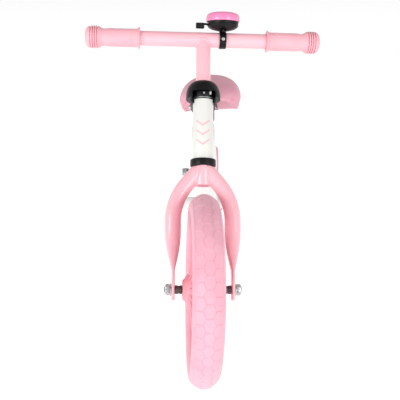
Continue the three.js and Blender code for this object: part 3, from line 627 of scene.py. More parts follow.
def wheel(name, place, wheel_body, axle_body):
    piece(f"{name}_tyre_moulded", tyre_shape(), place, wheel_body, "tyre_foam", f"{name}_tyre", sharp=28)
    piece(f"{name}_wheel_moulding", rim_shape(), place, wheel_body, "rim_plastic", f"{name}_rim")
    piece(f"{name}_axle_rod", axle_shape(), place, axle_body, "zinc_steel", f"{name}_axle",
          material=DARK_STEEL)
    for side, mirror in (("left", PLAIN), ("right", FLIP_X)):
        spacer = rounded([(6.5, 31.4), (6.5, 34.6), (5.9, 35.2), (5.9, 37.6), (6.5, 38.2), (6.5, 42.1),
                          (5.1, 42.1),
                          (5.1, 31.4)], 0.3, closed=True)
        piece(f"{name}_axle_spacer_{side}", placed(spun(spacer, 40, True), mirror @ ALONG_X), place,
              axle_body,
              "zinc_steel", f"{name}_spacer_{side}", material=DARK_STEEL)
        washer = tube(9.5, 5.1, 47.7, 49.3, 0.35, 48)
        piece(f"{name}_axle_washer_{side}", placed(washer, mirror @ ALONG_X), place, axle_body, "zinc_steel",
              f"{name}_washer_{side}")
        nut = nut_shape(49.6, 56.4, 15, 4.95)
        piece(f"{name}_axle_nut_{side}", placed(nut, mirror @ ALONG_X), place, axle_body, "zinc_steel",
              f"{name}_nut_{side}")


wheel("front", FRONT_WHEEL, "front_wheel", "fork")
wheel("rear", REAR_WHEEL, "rear_wheel", "frame")


# ---- fork and rear stays ------------------------------------------------------------------------

LEG_R = 12.5
LEG_X = 46
LEG_BEND = math.radians(40)
LEG_BEND_R = 88
LEG_BEND_START = 100
DROPOUT_HALF = 2.5
DROPOUT_R = 16
LEG_ACROSS = Vector((math.cos(LEG_BEND), 0, math.sin(LEG_BEND)))
LEG_ONWARD = Vector((-math.sin(LEG_BEND), 0, math.cos(LEG_BEND)))
LEG_BEND_END = Vector((LEG_X - LEG_BEND_R, 0, LEG_BEND_START)) + LEG_ACROSS * LEG_BEND_R
BACK = Vector((0, 1, 0))


def leg_centre(height, rake):
    lean = LEG_X - 1.1 * ease(1 - height / LEG_BEND_START)
    return Vector((lean, -rake * ease(1 - height / 85), height))


def leg_shape(rake, reach):
    """A leg: its foot pressed flat around the axle, straight up, then bent in to the crown."""
    drop = -rake * math.tan(HEAD_TILT)
    right = Vector((1, 0, 0))
    rings = []
    for angle in (86, 76, 64, 50, 36, 22, 8):
        below, half = DROPOUT_R * math.sin(math.radians(angle)), DROPOUT_R * math.cos(math.radians(angle))
        rings.append(squared(leg_centre(drop - below, rake), right, BACK, DROPOUT_HALF, half, 4))
    for height in (drop + 6, 16, 25, 28, 32, 37, 43, 50, 58, 67, 77, 88, LEG_BEND_START):
        full = math.sin(math.radians(90) * min(max((height - 25) / 62, 0), 1))
        half_across = DROPOUT_HALF + (LEG_R - DROPOUT_HALF) * full
        half_up = DROPOUT_R + (LEG_R - DROPOUT_R) * full
        rings.append(squared(leg_centre(height, rake), right, BACK, half_across, half_up, 4 - 2 * full))
    for i in range(1, 15):
        angle = LEG_BEND * i / 14
        across = Vector((math.cos(angle), 0, math.sin(angle)))
        centre = Vector((LEG_X - LEG_BEND_R, 0, LEG_BEND_START)) + across * LEG_BEND_R
        rings.append(squared(centre, across, BACK, LEG_R, LEG_R, 2))
    rings.append(squared(LEG_BEND_END + LEG_ONWARD * reach, LEG_ACROSS, BACK, LEG_R, LEG_R, 2))
    return skin(rings)


def leg_weld(top):
    """The bead where a leg meets the crown tube."""
    path = []
    for i in range(56):
        angle = TURN * i / 56
        start = LEG_BEND_END + (LEG_ACROSS * math.cos(angle) + BACK * math.sin(angle)) * LEG_R
        x = math.sqrt(max(STEERER_R ** 2 - start.y ** 2, 0))
        point = start + LEG_ONWARD * ((start.x - x) / math.sin(LEG_BEND))
        point.z = min(max(point.z, CROWN_BOTTOM + 1.2), top)
        path.append(point)
    return bead(path, 1.5)


def fork():
    crown = rounded([(0, 157.5), (10.8, 157.5), (11.4, 155), (13.4, 155), (13.4, 310), (11.9, 310),
                     (11.9, 195),
                     (0, 195)], 0.7)
    piece("crown_and_steerer", spun(crown, 72), STEERING, "fork", "pink_paint", "fork_steerer")
    top = LOWER_CUP_BOTTOM - 0.5
    for side, mirror in (("left", PLAIN), ("right", FLIP_X)):
        leg = leg_shape(FORK_RAKE, 34)
        bmesh.ops.bisect_plane(leg, geom=leg.verts[:] + leg.edges[:] + leg.faces[:], plane_co=(0, 0, top),
                               plane_no=(0, 0, 1), clear_outer=True)
        bmesh.ops.holes_fill(leg, edges=[e for e in leg.edges if e.is_boundary], sides=0)
        piece(f"fork_blade_{side}", placed(leg, mirror), STEERING, "fork", "pink_paint", f"fork_leg_{side}")
        piece(f"crown_weld_{side}", placed(leg_weld(top - 1.2), mirror), STEERING, "fork", "pink_paint")


def headset():
    lower = rounded([(20, 185.9, 0.9), (20, 195.8, 0.9), (14.1, 195.9), (14.1, 202.9), (13.8, 202.9),
                     (13.8, 193.9),
                     (15.8, 193.9), (15.8, 184.8), (18.9, 184.8, 0.6)], 0.2, closed=True)
    piece("lower_cup", spun(lower, 72, True), HEADSET, "frame", "black_plastic", "lower_headset_cup")
    low = HEAD_TUBE_TOP + 0.3
    upper = rounded([(14.1, low - 7), (14.1, low), (16.2, low, 0.2), (16.2, CUP_TOP, 0.2), (13.8, CUP_TOP),
                     (13.8, low - 7)], 0.2, closed=True)
    piece("upper_cup", spun(upper, 72, True), HEADSET, "frame", "black_plastic", "upper_headset_cup")


def stem_clamp():
    low, high = STEM_CLAMP_LOW, 308
    ring = tube(17.5, 13.7, low, high, 0.8, 64)
    ears = [block(x0, x1, -22, -14.5, low, high - 6, 1.0) for x0, x1 in ((-8, -1.4), (1.4, 8))]
    piece("stem_pinch_collar", gathered(ring, *ears), STEERING, "fork", "black_plastic", "stem_clamp_collar")
    head = rounded([(0, 9.6), (1.5, 9.6), (1.5, 11.4), (3.2, 11.4), (3.4, 10.9), (3.4, 8.4), (2.1, 8.4),
                    (2.1, -8),
                    (0, -8)], 0.3)
    screw = placed(spun(head, 32), shift(0, -18.6, low + 4.6) @ ALONG_X)
    piece("stem_pinch_screw", screw, STEERING, "fork", "zinc_steel", "stem_clamp_screw")


def dome_cover():
    """Rounded cover over the stem clamp with a skirt around the head tube, open in a window at the front."""
    base, top, hole, radius = 292, 320.6, TUBE_R + 0.4, 27.2
    outer, inner = [], []
    for i in range(13):
        angle = math.radians(90) * i / 12
        outer.append((hole + (radius - hole) * math.cos(angle),
                      base + 5 + (top - base - 5) * math.sin(angle)))
        inner.append((hole + (25 - hole) * math.cos(angle),
                      base + 5 + (top - 2.4 - base - 5) * math.sin(angle)))
    profile = [(16.7, 285.2, 0.4), (20.6, 285.2, 0.5), (20.6, base, 0.8), (radius, base, 0.6), *outer]
    profile += [*inner[::-1], (25, base + 1.6, 0.3), (16.7, base + 1.6, 0.4)]
    cover = boolean(spun(rounded(profile, closed=True), 96, True),
                    block(-18, 18, -40, -8, 280, base + 9, 1.6, 4))
    piece("stem_dome", cover, STEERING, "fork", "black_plastic", "dome_cover", sharp=40)


def handlebar():
    bar = placed(tube(TUBE_R, 9.7, -BAR_HALF, BAR_HALF, 0.4, 72), shift(0, 0, BAR_HEIGHT) @ ALONG_X)
    stem = tube(TUBE_R, 9.7, 214, BAR_HEIGHT - 3, 0.6, 72)
    path = []
    for i in range(64):
        angle = TURN * i / 64
        drop = TUBE_R * math.sqrt(math.cos(angle) ** 2 + 0.02)
        path.append((TUBE_R * 1.02 * math.cos(angle), TUBE_R * 0.99 * math.sin(angle), BAR_HEIGHT - drop))
    weld = bead(path, 1.5, 12)
    piece("crossbar_and_stem", gathered(bar, stem, weld), STEERING, "handlebar", "pink_paint", "handlebar")


def grip_shape():
    """Rubber grip: guard disc, tapered barrel and a finned round knob."""
    profile = [(11.8, 101), (16.4, 101, 0.5), (17, 101.8, 0.5), (17, 103, 0.8), (14.8, 104.4, 1.2),
               (14.3, 108, 1.5)]
    for at in (112, 115):
        profile += [(14.25, at, 0.3), (13.8, at + 0.6, 0.2), (14.25, at + 1.2, 0.3)]
    profile += [(14.1, 132, 6), (14.2, 151, 3), (13.2, 156, 2.5), (13.5, 160.5, 2), (15.6, 163.6, 1),
                (16.9, 166.2, 0.5)]
    for at, radius in ((167.0, 17.3), (170.6, 17.5), (174.0, 17.5), (177.8, 17.0)):
        profile += [(radius, at - 0.1, 0.35), (15.0, at + 0.25, 0.2), (15.0, at + 1.35, 0.2),
                    (radius, at + 1.7, 0.35)]
    profile += [(16.6, 180.8, 1), (15.2, 183.6, 1.5), (11.5, 186.4, 2), (6, 187, 2), (0, 187.0)]
    inner = [(11.8, 101), (11.8, BAR_HALF + 0.3), (0, BAR_HALF + 0.3)]
    return placed(spun(inner[::-1] + rounded(profile, 0.5)[1:], 72), shift(0, 0, BAR_HEIGHT) @ ALONG_X)


def grips():
    piece("finned_grip_left", grip_shape(), STEERING, "handlebar", "grip_rubber", "grip_left", sharp=50)
    piece("finned_grip_right", placed(grip_shape(), FLIP_X), STEERING, "handlebar", "grip_rubber",
          "grip_right",
          sharp=50)


fork()
headset()
stem_clamp()
dome_cover()
handlebar()
grips()


# ---- bell ---------------------------------------------------------------------------------------

LEVER_PIVOT = Vector((-15, 8, 0))


def bell():
    shell = [(0, 43), (8, 42.8, 2), (20.4, 41.9, 3), (24.6, 40, 2.5), (26.6, 36.4, 2), (27, 32, 2),
             (26.9, 30, 1),
             (26.5, 28.4, 0.3), (25.1, 28.4, 0.3), (25.6, 30.4, 1), (25.6, 35, 2), (23.8, 38.4, 2),
             (19.8, 40.1, 2),
             (0, 40.2)]
    piece("bell_shell", spun(rounded(shell, 0.5, 5), 96), BELL, "handlebar", "bell_paint", "bell_dome",
          sharp=45)
    bowl = [(0, 14.2), (7.2, 14.2, 1), (11.5, 15.1, 2), (19.6, 17.2, 3), (23.8, 20.2, 2), (25, 22.8, 1),
            (25, 23.6, 0.3),
            (24.4, 24, 0.3), (24.4, 24.8, 0.3), (25, 25.2, 0.3), (25, 28, 0.4), (23, 28, 0.4), (23, 22.6, 1),
            (21.2, 19.4, 1), (16, 18, 1), (3.2, 18, 0.3), (3.2, 38.6, 0.5), (0, 38.6)]
    bowl_shape = boolean(spun(rounded(bowl, 0.4), 80), block(-28, -18.5, -11, 10.5, 22.6, 32, 0.8))
    neck = block(-5.3, 5.3, -9, 9, TUBE_R + 2.3, 15.6, 1.0)
    pin = placed(rod(2, 17, 27.8, 0.4, 24), Matrix.Translation(LEVER_PIVOT))
    gussets = [placed(block(-1, 1, 8.4, 16, 11.6, 16, 0.5), turn(angle, "Z")) for angle in (0, math.pi)]
    piece("bell_bowl", gathered(bowl_shape, neck, pin, *gussets), BELL, "handlebar", "black_plastic",
          "bell_base")
    ring = placed(tube(TUBE_R + 2, TUBE_R + 0.3, -5.3, 5.3, 0.5, 64), ALONG_X)
    lugs = [block(-5.3, 5.3, -15.5, -11.8, z0, z1, 0.8) for z0, z1 in ((-5.4, -1.8), (-1.2, 4.8))]
    piece("bell_strap", gathered(ring, *lugs), BELL, "handlebar", "black_plastic", "bell_clamp_band")
    head = rounded([(0, 16.3), (1.1, 16.3), (1.2, 17.3), (2.2, 17.1), (2.7, 16.5), (2.7, 15.6), (1.6, 15.6),
                    (1.6, 12),
                    (0, 12)], 0.2)
    screw = placed(spun(head, 28), shift(0, 0, 0.4) @ turn(math.pi / 2, "X"))
    piece("bell_strap_screw", screw, BELL, "handlebar", "zinc_steel", "bell_clamp_screw")


def bell_lever():
    """Toothed sector and arm under the shell, and the ribbed thumb paddle outside it."""
    px, py = LEVER_PIVOT.x, LEVER_PIVOT.y
    sector = []
    towards_gear = math.atan2(-py, -px)
    for i in range(-18, 19):
        angle = towards_gear + math.radians(i * 2)
        reach = 11.6 if i % 3 else 11.0
        sector.append((px + reach * math.cos(angle), py + reach * math.sin(angle)))
    heel = [(px - 1, py + 4.4), (px - 4.6, py + 1), (px - 4.4, py - 3.4)]
    wedge = plate(sector + heel, 23.4, 26.4, 0)
    wedge = boolean(wedge, placed(rod(2.4, 20, 30, 0, 24), Matrix.Translation(LEVER_PIVOT)))
    arm = plate([(px - 3, py - 4.2), (px - 3.6, py + 0.6), (-31, 3), (-31, -2)], 23.4, 26.4, 0.4)
    paddle = block(-43, -29.5, -3, 4.6, 17.6, 26.6, 1.6, 4)
    ribs = [block(x - 0.6, x + 0.6, -3.6, 4.2, 19, 25.4, 0.45, 2) for x in (-41, -38.8, -36.6, -34.4, -32.2)]
    piece("bell_thumb_lever", gathered(wedge, arm, paddle, *ribs), BELL, "bell_lever", "black_plastic",
          "bell_lever")


bell()
bell_lever()


# ---- frame --------------------------------------------------------------------------------------

BEAM = [Vector(p) for p in ((0, -180, 366), (0, -98, 338), (0, 0, 214), (0, 94, 194))]


def islands(shape):
    """The shape's separate bodies, as lists of faces, the largest first."""
    left = set(shape.faces)
    found = []
    while left:
        stack = [left.pop()]
        body = list(stack)
        while stack:
            for edge in stack.pop().edges:
                for face in edge.link_faces:
                    if face in left:
                        left.remove(face)
                        stack.append(face)
                        body.append(face)
        found.append(body)
    return sorted(found, key=lambda faces: -sum(f.calc_area() for f in faces))


def largest(shape):
    bmesh.ops.remove_doubles(shape, verts=shape.verts[:], dist=0.002)
    for faces in islands(shape)[1:]:
        bmesh.ops.delete(shape, geom=faces, context="FACES")
    return shape


def beam_point(t, angle):
    """A point on the beam's skin; the angle runs around the section."""
    a, b, c, d = BEAM
    s = 1 - t
    centre = a * s ** 3 + b * (3 * s * s * t) + c * (3 * s * t * t) + d * t ** 3
    along = ((b - a) * s * s + (c - b) * (2 * s * t) + (d - c) * t * t).normalized()
    up = Vector((0, -along.z, along.y))
    half_w = 21.5 * (0.78 + 0.22 * ease(t / 0.4)) * (1 - 0.1 * t)
    half_h = 26 * (1 - 0.16 * t)
    power = 2 / 2.6
    across = math.copysign(abs(math.cos(angle)) ** power, math.cos(angle)) * half_w
    rise = math.copysign(abs(math.sin(angle)) ** power, math.sin(angle)) * half_h
    return centre + Vector((1, 0, 0)) * across + up * rise


def off_axis(point, place):
    """How far a point lies from a place's own Z axis."""
    local = place.inverted() @ point
    return math.hypot(local.x, local.y)


def beam_weld(place, radius, stations):
    """The bead where the beam's skin runs into a tube."""
    path = []
    for i in range(72):
        angle = TURN * i / 72
        nearest = min(stations, key=lambda t: abs(off_axis(beam_point(t, angle), place) - radius))
        path.append(beam_point(nearest, angle))
    for _ in range(2):
        path = [(path[i - 1] + path[i] * 2 + path[(i + 1) % len(path)]) / 4 for i in range(len(path))]
    return bead(path, 1.7)


def chevron(height):
    """A thin painted chevron wrapped on the front of the head tube."""
    shape = bmesh.new()
    half, drop, width, steps = 11, 8, 3.2, 14
    ends = [shape.verts.new((-half, 0, height + drop)), shape.verts.new((-half, 0, height + drop + width))]
    edge = shape.edges.new(ends)
    for i in range(steps):
        grown = bmesh.ops.extrude_edge_only(shape, edges=[edge])["geom"]
        edge = next(g for g in grown if isinstance(g, bmesh.types.BMEdge) and len(g.link_faces) == 1
                    and all(v in grown for v in g.verts))
        fall = drop * 2 / steps * (-1 if i < steps / 2 else 1)
        bmesh.ops.translate(shape, vec=(half * 2 / steps, 0, fall), verts=edge.verts[:])
    bmesh.ops.solidify(shape, geom=shape.faces[:], thickness=0.12)
    for vert in shape.verts:
        radius = HEAD_TUBE_R + 0.02 + abs(vert.co.y)
        angle = vert.co.x / HEAD_TUBE_R
        vert.co = (radius * math.sin(angle), -radius * math.cos(angle), vert.co.z)
    bmesh.ops.recalc_face_normals(shape, faces=shape.faces[:])
    return shape


def frame_tubes():
    head = rounded([(16.5, 196.2, 0.5), (16.5, 199.8, 0.4), (16.2, 200.3, 0.2), (16.2, 205.4, 0.2),
                    (15.95, 205.8, 0.2),
                    (15.95, 206.4, 0.2), (16.2, 206.8, 0.2), (16.2, HEAD_TUBE_TOP, 0.5),
                    (14.4, HEAD_TUBE_TOP, 0.3),
                    (14.4, 196.2, 0.3)], closed=True)
    piece("head_tube_turned", spun(head, 96, True), HEADSET, "frame", "white_paint", "head_tube")
    stripes = gathered(*(chevron(height) for height in (216, 231, 246)))
    piece("head_tube_chevrons", stripes, HEADSET, "frame", "pink_paint", material=FAINT_PINK, sharp=60)
    angles = [TURN * i / 40 for i in range(40)]
    beam = skin([[beam_point(t / 30, angle) for angle in angles] for t in range(31)])
    beam = boolean(beam, placed(rod(HEAD_TUBE_R - 0.6, 120, 360, 0, 64), HEADSET))
    beam = boolean(beam, placed(rod(SEAT_TUBE_R - 0.8, -80, 140, 0, 64), SEAT_MAST))
    piece("curved_beam", largest(beam), PLAIN, "frame", "white_paint", "main_beam", sharp=40)
    front = [0.02 + 0.16 * k / 80 for k in range(81)]
    rear = [0.7 + 0.3 * k / 80 for k in range(81)]
    welds = gathered(beam_weld(HEADSET, HEAD_TUBE_R + 0.4, front),
                     beam_weld(SEAT_MAST, SEAT_TUBE_R + 0.4, rear))
    piece("beam_welds", welds, PLAIN, "frame", "white_paint")
    seat_tube = rounded([(16, -14, 0.8), (16, 80, 0.5), (13.1, 80, 0.5), (13.1, -14, 0.5)], closed=True)
    piece("seat_tube_turned", spun(seat_tube, 80, True), SEAT_MAST, "frame", "white_paint", "seat_tube")


def rear_fork():
    def seat_cutter():
        return placed(rod(SEAT_TUBE_R - 0.8, -80, 140, 0, 64), SEAT_MAST)

    yoke = placed(rod(STEERER_R, CROWN_BOTTOM, 200, 0.8, 64), REAR_FORK)
    piece("rear_crown", largest(boolean(yoke, seat_cutter())), PLAIN, "frame", "white_paint", "rear_yoke",
          sharp=40)
    for side, mirror in (("left", PLAIN), ("right", FLIP_X)):
        stay = placed(leg_shape(0, 38), REAR_FORK @ mirror)
        piece(f"rear_blade_{side}", largest(boolean(stay, seat_cutter())), PLAIN, "frame", "white_paint",
              f"rear_stay_{side}", sharp=40)
        weld = leg_weld(173)
        piece(f"rear_crown_weld_{side}", placed(weld, mirror), REAR_FORK, "frame", "white_paint")


frame_tubes()
rear_fork()


# ---- seat clamp and seat ------------------------------------------------------------------------

ACROSS_EARS = shift(0, 25.5, 70) @ ALONG_X


def knurled(shape, depth):
    """Straight knurling: every other line of a turned shape pressed in."""
    for vert in shape.verts:
        angle = math.atan2(vert.co.y, vert.co.x) % TURN
        radius = math.hypot(vert.co.x, vert.co.y)
        if round(angle / (TURN / 72)) % 2 and radius > 4:
            share = (radius - depth) / radius
            vert.co.x *= share
            vert.co.y *= share
    return shape


def seat_clamp():
    low, high = 61, 79
    ring = spun(rounded([(19.4, low, 0.6), (20, low + 2, 0.8), (20, high - 2, 0.8), (19.4, high, 0.6),
                         (16.3, high, 0.4),
                         (16.3, low, 0.4)], closed=True), 72, True)
    ears = [block(x0, x1, 15.5, 32, low, high, 1.8, 4) for x0, x1 in ((-9, -1.6), (1.6, 9))]
    piece("seat_pinch_collar", gathered(ring, *ears), SEAT_MAST, "frame", "black_plastic",
          "seat_clamp_collar")
    skewer = [(0, -49), (2.5, -49, 0.5), (2.5, 17.6, 0.1)] + thread(2.5, 17.8, 21.6, 0.8, 0.3) + [(0, 22)]
    pin = rod(2, -7.2, 7.2, 0.4, 24)
    bar = placed(spun(rounded(skewer, 0.2), 24), ACROSS_EARS)
    pin = placed(pin, SEAT_MAST.inverted() @ SEAT_CAM)
    piece("skewer_rod", gathered(bar, pin), SEAT_MAST, "frame", "zinc_steel", "seat_clamp_skewer")
    nut = spun(rounded([(5.2, 9.4, 0.4), (5.6, 10.4, 0.4), (5.6, 16.6, 0.4), (5.0, 18.5, 0.5),
                        (2.8, 18.5, 0.2),
                        (2.8, 9.4, 0.2)], closed=True), 72, True)
    piece("skewer_nut", placed(knurled(nut, 0.35), ACROSS_EARS), SEAT_MAST, "frame", "zinc_steel",
          "seat_clamp_nut")
    sleeve = rounded([(5, -38.6, 0.4), (5, -30, 0.3), (4.4, -29, 0.3), (4.4, -20, 0.3), (5, -19, 0.3),
                      (5, -9.4, 0.4),
                      (2.8, -9.4, 0.2), (2.8, -38.6, 0.2)], closed=True)
    piece("skewer_sleeve", placed(spun(sleeve, 40, True), ACROSS_EARS), SEAT_MAST, "frame", "zinc_steel",
          "seat_clamp_spacer")


def seat_lever():
    """Quick-release lever: cam cheeks astride the skewer and a waisted flat arm."""
    cam = boolean(rod(8, -6.4, 6.4, 0.7, 48), block(-12, 12, -12, 3.8, -3.4, 3.4, 0))
    outline = rounded([(5, -6.2, 1), (20, -5.4, 6), (38, -5.2, 6), (50, -6.6, 3), (54, -3, 2.5), (54, 3, 2.5),
                       (50, 6.6, 3), (38, 5.2, 6), (20, 5.4, 6), (5, 6.2, 1)], closed=True)
    to_arm = Matrix(((0, 0, 1, 0), (1, 0, 0, 0), (0, 1, 0, 0), (0, 0, 0, 1)))
    arm = placed(plate(outline, -2.6, 2.6, 0.9, 3), to_arm)
    hollow = rounded([(14, -2.6, 2), (46, -3.4, 2.5), (46, 3.4, 2.5), (14, 2.6, 2)], closed=True)
    arm = boolean(arm, placed(plate(hollow, -4, -1.7, 0), to_arm))
    piece("quick_release_lever", gathered(cam, arm), SEAT_CAM, "seat_lever", "zinc_steel", "seat_clamp_lever")


def seat_post():
    profile = [(12.7, 20, 0.8)]
    for at in (96, 100):
        profile += [(12.7, at, 0.1), (12.5, at + 0.3, 0.1), (12.7, at + 0.6, 0.1)]
    profile += [(12.7, 189, 0.8), (11, 189, 0.4), (11, 20, 0.4)]
    piece("seat_post_chromed", spun(rounded(profile, closed=True), 72, True), SEAT_MAST, "seat",
          "chrome_steel",
          "seat_post")
    clamp = block(-14, 14, 153, 193, 350, 389, 2.4, 4)
    piece("saddle_cradle", clamp, PLAIN, "seat", "black_plastic", "saddle_clamp")
    bolt = [(0, -40), (2.6, -40, 0.2)] + thread(3, -39.4, -28, 0.9, 0.35) + [(3, -27.6), (3, 14.3)]
    bolt += [(5.5, 14.3, 0.3), (5.5, 16.8, 0.3), (5.1, 17.4, 0.3), (2.6, 17.4, 0.2), (2.6, 16.2), (0, 16.2)]
    piece("cradle_bolt", placed(spun(rounded(bolt, 0.15), 32), SADDLE_BOLT), PLAIN, "seat", "zinc_steel",
          "saddle_clamp_bolt")
    disc = rounded([(9, -33.3, 0.6), (9, -25.3, 0.6), (6, -25.3, 0.4), (6, -14.3, 0.4), (3.3, -14.3, 0.2),
                    (3.3, -33.3, 0.2)], closed=True)
    piece("cradle_disc", placed(knurled(spun(disc, 72, True), 0.35), SADDLE_BOLT), PLAIN, "seat",
          "zinc_steel",
          "saddle_clamp_disc", material=DARK_STEEL)
    piece("cradle_nut", placed(nut_shape(-39, -33.6, 10, 3.2), SADDLE_BOLT), PLAIN, "seat", "zinc_steel",
          "saddle_clamp_nut")


seat_clamp()
seat_lever()
seat_post()

SADDLE_NOSE = 76
SADDLE_LENGTH = 232
PIPING_R = 1.3
PIPING_LIFT = 6                          # above the lower edge of the cover
PIPING_STEPS = 60                        # to a side
PAN_HALF_WIDTH = 19


def saddle_edge(t):
    return 384 + 6 * ease(t / 0.3) - 27 * ease((t - 0.4) / 0.34) + 7 * ease((t - 0.84) / 0.16)


def saddle_top(t):
    return 405 + 5 * ease((0.3 - t) / 0.3) + 37 * ease((t - 0.25) / 0.65)


def saddle_half(t):
    nose = 23 * math.sqrt(min(1, max(0, t) / 0.09))
    tail = math.sqrt(max(0, 1 - max(0, (t - 0.8) / 0.2) ** 2.4))
    return (nose + 45 * ease((t - 0.24) / 0.46)) * tail


def saddle_rings(inset, bottom, top, samples, hollow=0.0, widest=90, tuck=0.86):
    """Sections of the saddle from nose to tail; hollow lifts the middle of the underside."""
    rings = []
    for t in samples:
        y = SADDLE_NOSE + SADDLE_LENGTH * t
        half = min(max(saddle_half(t) - inset, 1.5), widest)
        low, high = saddle_edge(t) + bottom, top(t)
        waist = low + (high - low) * 0.34
        points = [Vector((half * tuck, y, low))]
        for i in range(17):
            angle = math.pi * i / 16
            x = half * math.copysign(abs(math.cos(angle)) ** 0.84, math.cos(angle))
            points.append(Vector((x, y, waist + (high - waist) * max(math.sin(angle), 0) ** 0.84)))
        points.append(Vector((-half * tuck, y, low)))
        for share in (-0.66, -0.25, 0.25, 0.66):
            points.append(Vector((half * share, y, low + hollow)))
        rings.append(points)
    return rings


def swelled(shape, push, cap):
    """The closed shape swelled as stuffed fabric: a short cloth simulation under inner pressure."""
    mesh = bpy.data.meshes.new("padding")
    shape.to_mesh(mesh)
    shape.free()
    mesh.transform(Matrix.Scale(MM, 4))
    pad = bpy.data.objects.new("padding", mesh)
    bpy.context.scene.collection.objects.link(pad)
    fine = pad.modifiers.new("voxels", "REMESH")
    fine.mode = "VOXEL"
    fine.voxel_size = 4.5 * MM
    graph = bpy.context.evaluated_depsgraph_get()
    even = bpy.data.meshes.new_from_object(pad.evaluated_get(graph))
    pad.modifiers.clear()
    pad.data = even
    start = [v.co.copy() for v in even.vertices]
    cloth = pad.modifiers.new("cloth", "CLOTH")
    cloth.settings.quality = 5
    cloth.settings.mass = 0.3
    cloth.settings.tension_stiffness = 25
    cloth.settings.compression_stiffness = 25
    cloth.settings.bending_stiffness = 2
    cloth.settings.use_pressure = True
    cloth.settings.uniform_pressure_force = push
    cloth.settings.effector_weights.gravity = 0
    cloth.point_cache.frame_start, cloth.point_cache.frame_end = 1, 20
    for number in range(1, 21):
        bpy.context.scene.frame_set(number)
    graph = bpy.context.evaluated_depsgraph_get()
    puffed = bpy.data.meshes.new_from_object(pad.evaluated_get(graph))
    pad.modifiers.clear()
    for vert, before, after in zip(even.vertices, start, puffed.vertices):
        move = after.co - before
        if move.length > cap * MM:
            move *= cap * MM / move.length
        vert.co = before + move
    bpy.context.scene.frame_set(1)
    result = bmesh.new()
    result.from_mesh(even)
    bpy.data.objects.remove(pad)
    result.transform(Matrix.Scale(1 / MM, 4))
    return result


def saddle():
    samples = [0.004, 0.015, 0.03, 0.05, 0.08, 0.12, 0.16, 0.21, 0.26, 0.32, 0.38, 0.44, 0.5, 0.56, 0.62,
               0.68, 0.74, 0.79,
               0.83, 0.87, 0.9, 0.93, 0.95, 0.97, 0.98, 0.99, 0.996]
    inside = skin(saddle_rings(-0.4, 0.6, lambda t: saddle_top(t) - 1, samples, 5))
    padding = swelled(inside, 4.0, 3.0)
    for _ in range(2):
        bmesh.ops.smooth_vert(padding, verts=padding.verts[:], factor=0.5, use_axis_x=True, use_axis_y=True,
                              use_axis_z=True)
    surface = BVHTree.FromBMesh(padding)
    loop = []
    for side in (1, -1):
        turns = range(PIPING_STEPS + 1) if side > 0 else range(PIPING_STEPS, -1, -1)
        for i in turns:
            t = 0.5 - 0.5 * math.cos(math.pi * i / PIPING_STEPS)
            point = Vector((side * saddle_half(t), SADDLE_NOSE + SADDLE_LENGTH * t,
                            saddle_edge(t) + PIPING_LIFT))
            loop.append(surface.find_nearest(point)[0])
    loop = [p for i, p in enumerate(loop) if (p - loop[i - 1]).length > 0.4]
    for _ in range(3):
        loop = [(loop[i - 1] + loop[i] * 2 + loop[(i + 1) % len(loop)]) / 4 for i in range(len(loop))]
    piping = bead(loop, PIPING_R, 10, 0)
    cushion = piece("saddle_padding", padding, SADDLE, "seat", "saddle_vinyl", "saddle_cover", sharp=180)
    finer = cushion.modifiers.new("finer", "SUBSURF")
    finer.levels = finer.render_levels = 1
    piece("saddle_piping", piping, SADDLE, "seat", "saddle_vinyl")
    pan_samples = [0.07, 0.1, 0.16, 0.26, 0.38, 0.5, 0.62, 0.74, 0.83, 0.9, 0.925]
    pan = skin(saddle_rings(8, 1.5, lambda t: saddle_edge(t) + 9, pan_samples, 0, PAN_HALF_WIDTH))
    piece("saddle_pan", pan, SADDLE, "seat", "black_plastic", "saddle_base", sharp=40)


saddle()

# CAD nodes that stay in view keep their shape and take the finish that a word of their name asks for.
SHOWN_SLOTS = {"cup": "black_plastic", "collar": "black_plastic", "cover": "black_plastic",
               "fork": "pink_paint",
               "stay": "white_paint", "beam": "white_paint", "grip": "grip_rubber", "tyre": "tyre_foam",
               "rim": "rim_plastic"}

for name, node in frame["nodes"].items():
    slot = next((own for key, own in SHOWN_SLOTS.items() if key in name), "zinc_steel")
    node.data.materials.clear()
    node.data.materials.append(FINISHES[slot])


# ---- floor, light and camera --------------------------------------------------------------------

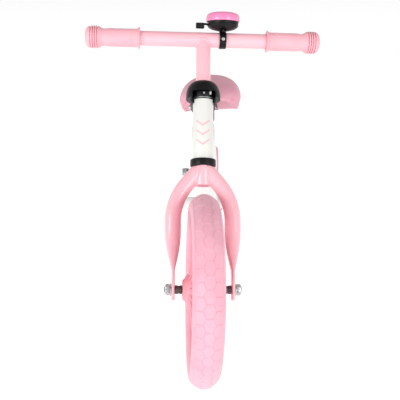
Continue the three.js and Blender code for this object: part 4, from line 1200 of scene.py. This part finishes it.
def studio():
    scene = bpy.context.scene
    scene.view_settings.view_transform = "Standard"
    world = bpy.data.worlds.new("studio_air")
    world.use_nodes = True
    world.node_tree.nodes["Background"].inputs["Color"].default_value = (1, 1, 1, 1)
    nodes, links = world.node_tree.nodes, world.node_tree.links
    height = nodes.new("ShaderNodeSeparateXYZ")
    links.new(nodes.new("ShaderNodeTexCoord").outputs["Generated"], height.inputs["Vector"])
    fade = nodes.new("ShaderNodeMapRange")
    for socket, value in (("From Min", 0.05), ("From Max", 0.9), ("To Min", 1.0), ("To Max", 0.35)):
        fade.inputs[socket].default_value = value
    links.new(height.outputs["Z"], fade.inputs["Value"])
    links.new(fade.outputs["Result"], nodes["Background"].inputs["Strength"])
    scene.world = world
    sheet = bmesh.new()
    bmesh.ops.create_grid(sheet, x_segments=8, y_segments=8, size=40)
    mesh = bpy.data.meshes.new("floor")
    sheet.to_mesh(mesh)
    sheet.free()
    floor = bpy.data.objects.new("floor", mesh)
    scene.collection.objects.link(floor)
    pale = Finish("pale_floor", Specular_IOR_Level=0.2)
    pale.colour(pale.noise(1.5, 2), (0.3, "f1f1f1"), (0.7, "f3f3f3"))
    pale.gloss(pale.noise(2, 2), 0.75, 0.85)
    pale.shader.inputs["Emission Color"].default_value = (1, 1, 1, 1)
    pale.shader.inputs["Emission Strength"].default_value = 0.58
    mesh.materials.append(pale.material)
    for label, place, power, size in (("softbox_left", (-1.5, -1.8, 0.8), 21, 0.9),
                                      ("softbox_right", (1.5, -1.9, 0.7), 17, 0.9)):
        lamp = bpy.data.lights.new(label, "AREA")
        lamp.energy = power
        lamp.shape = "SQUARE"
        lamp.size = size
        holder = bpy.data.objects.new(label, lamp)
        scene.collection.objects.link(holder)
        holder.location = place
        aim = Vector((0, 0, 0.3)) - Vector(place)
        holder.rotation_euler = aim.to_track_quat("-Z", "Y").to_euler()


def camera():
    yaw, pitch, roll = math.radians(-1.979), math.radians(13.07), math.radians(0.52)
    ahead = Vector((math.sin(yaw) * math.cos(pitch), math.cos(yaw) * math.cos(pitch), -math.sin(pitch)))
    level = ahead.cross(Vector((0, 0, 1))).normalized()
    down = ahead.cross(level)
    right = level * math.cos(roll) + down * math.sin(roll)
    up = level * math.sin(roll) - down * math.cos(roll)
    lens = bpy.data.cameras.new("camera")
    lens.sensor_width = 36
    lens.lens = 55.64
    holder = bpy.data.objects.new("camera", lens)
    bpy.context.scene.collection.objects.link(holder)
    turned = Matrix((right, up, -ahead)).transposed().to_4x4()
    holder.matrix_world = Matrix.Translation((0.0276, -1.1467, 0.4824)) @ turned
    bpy.context.scene.camera = holder


studio()
camera()
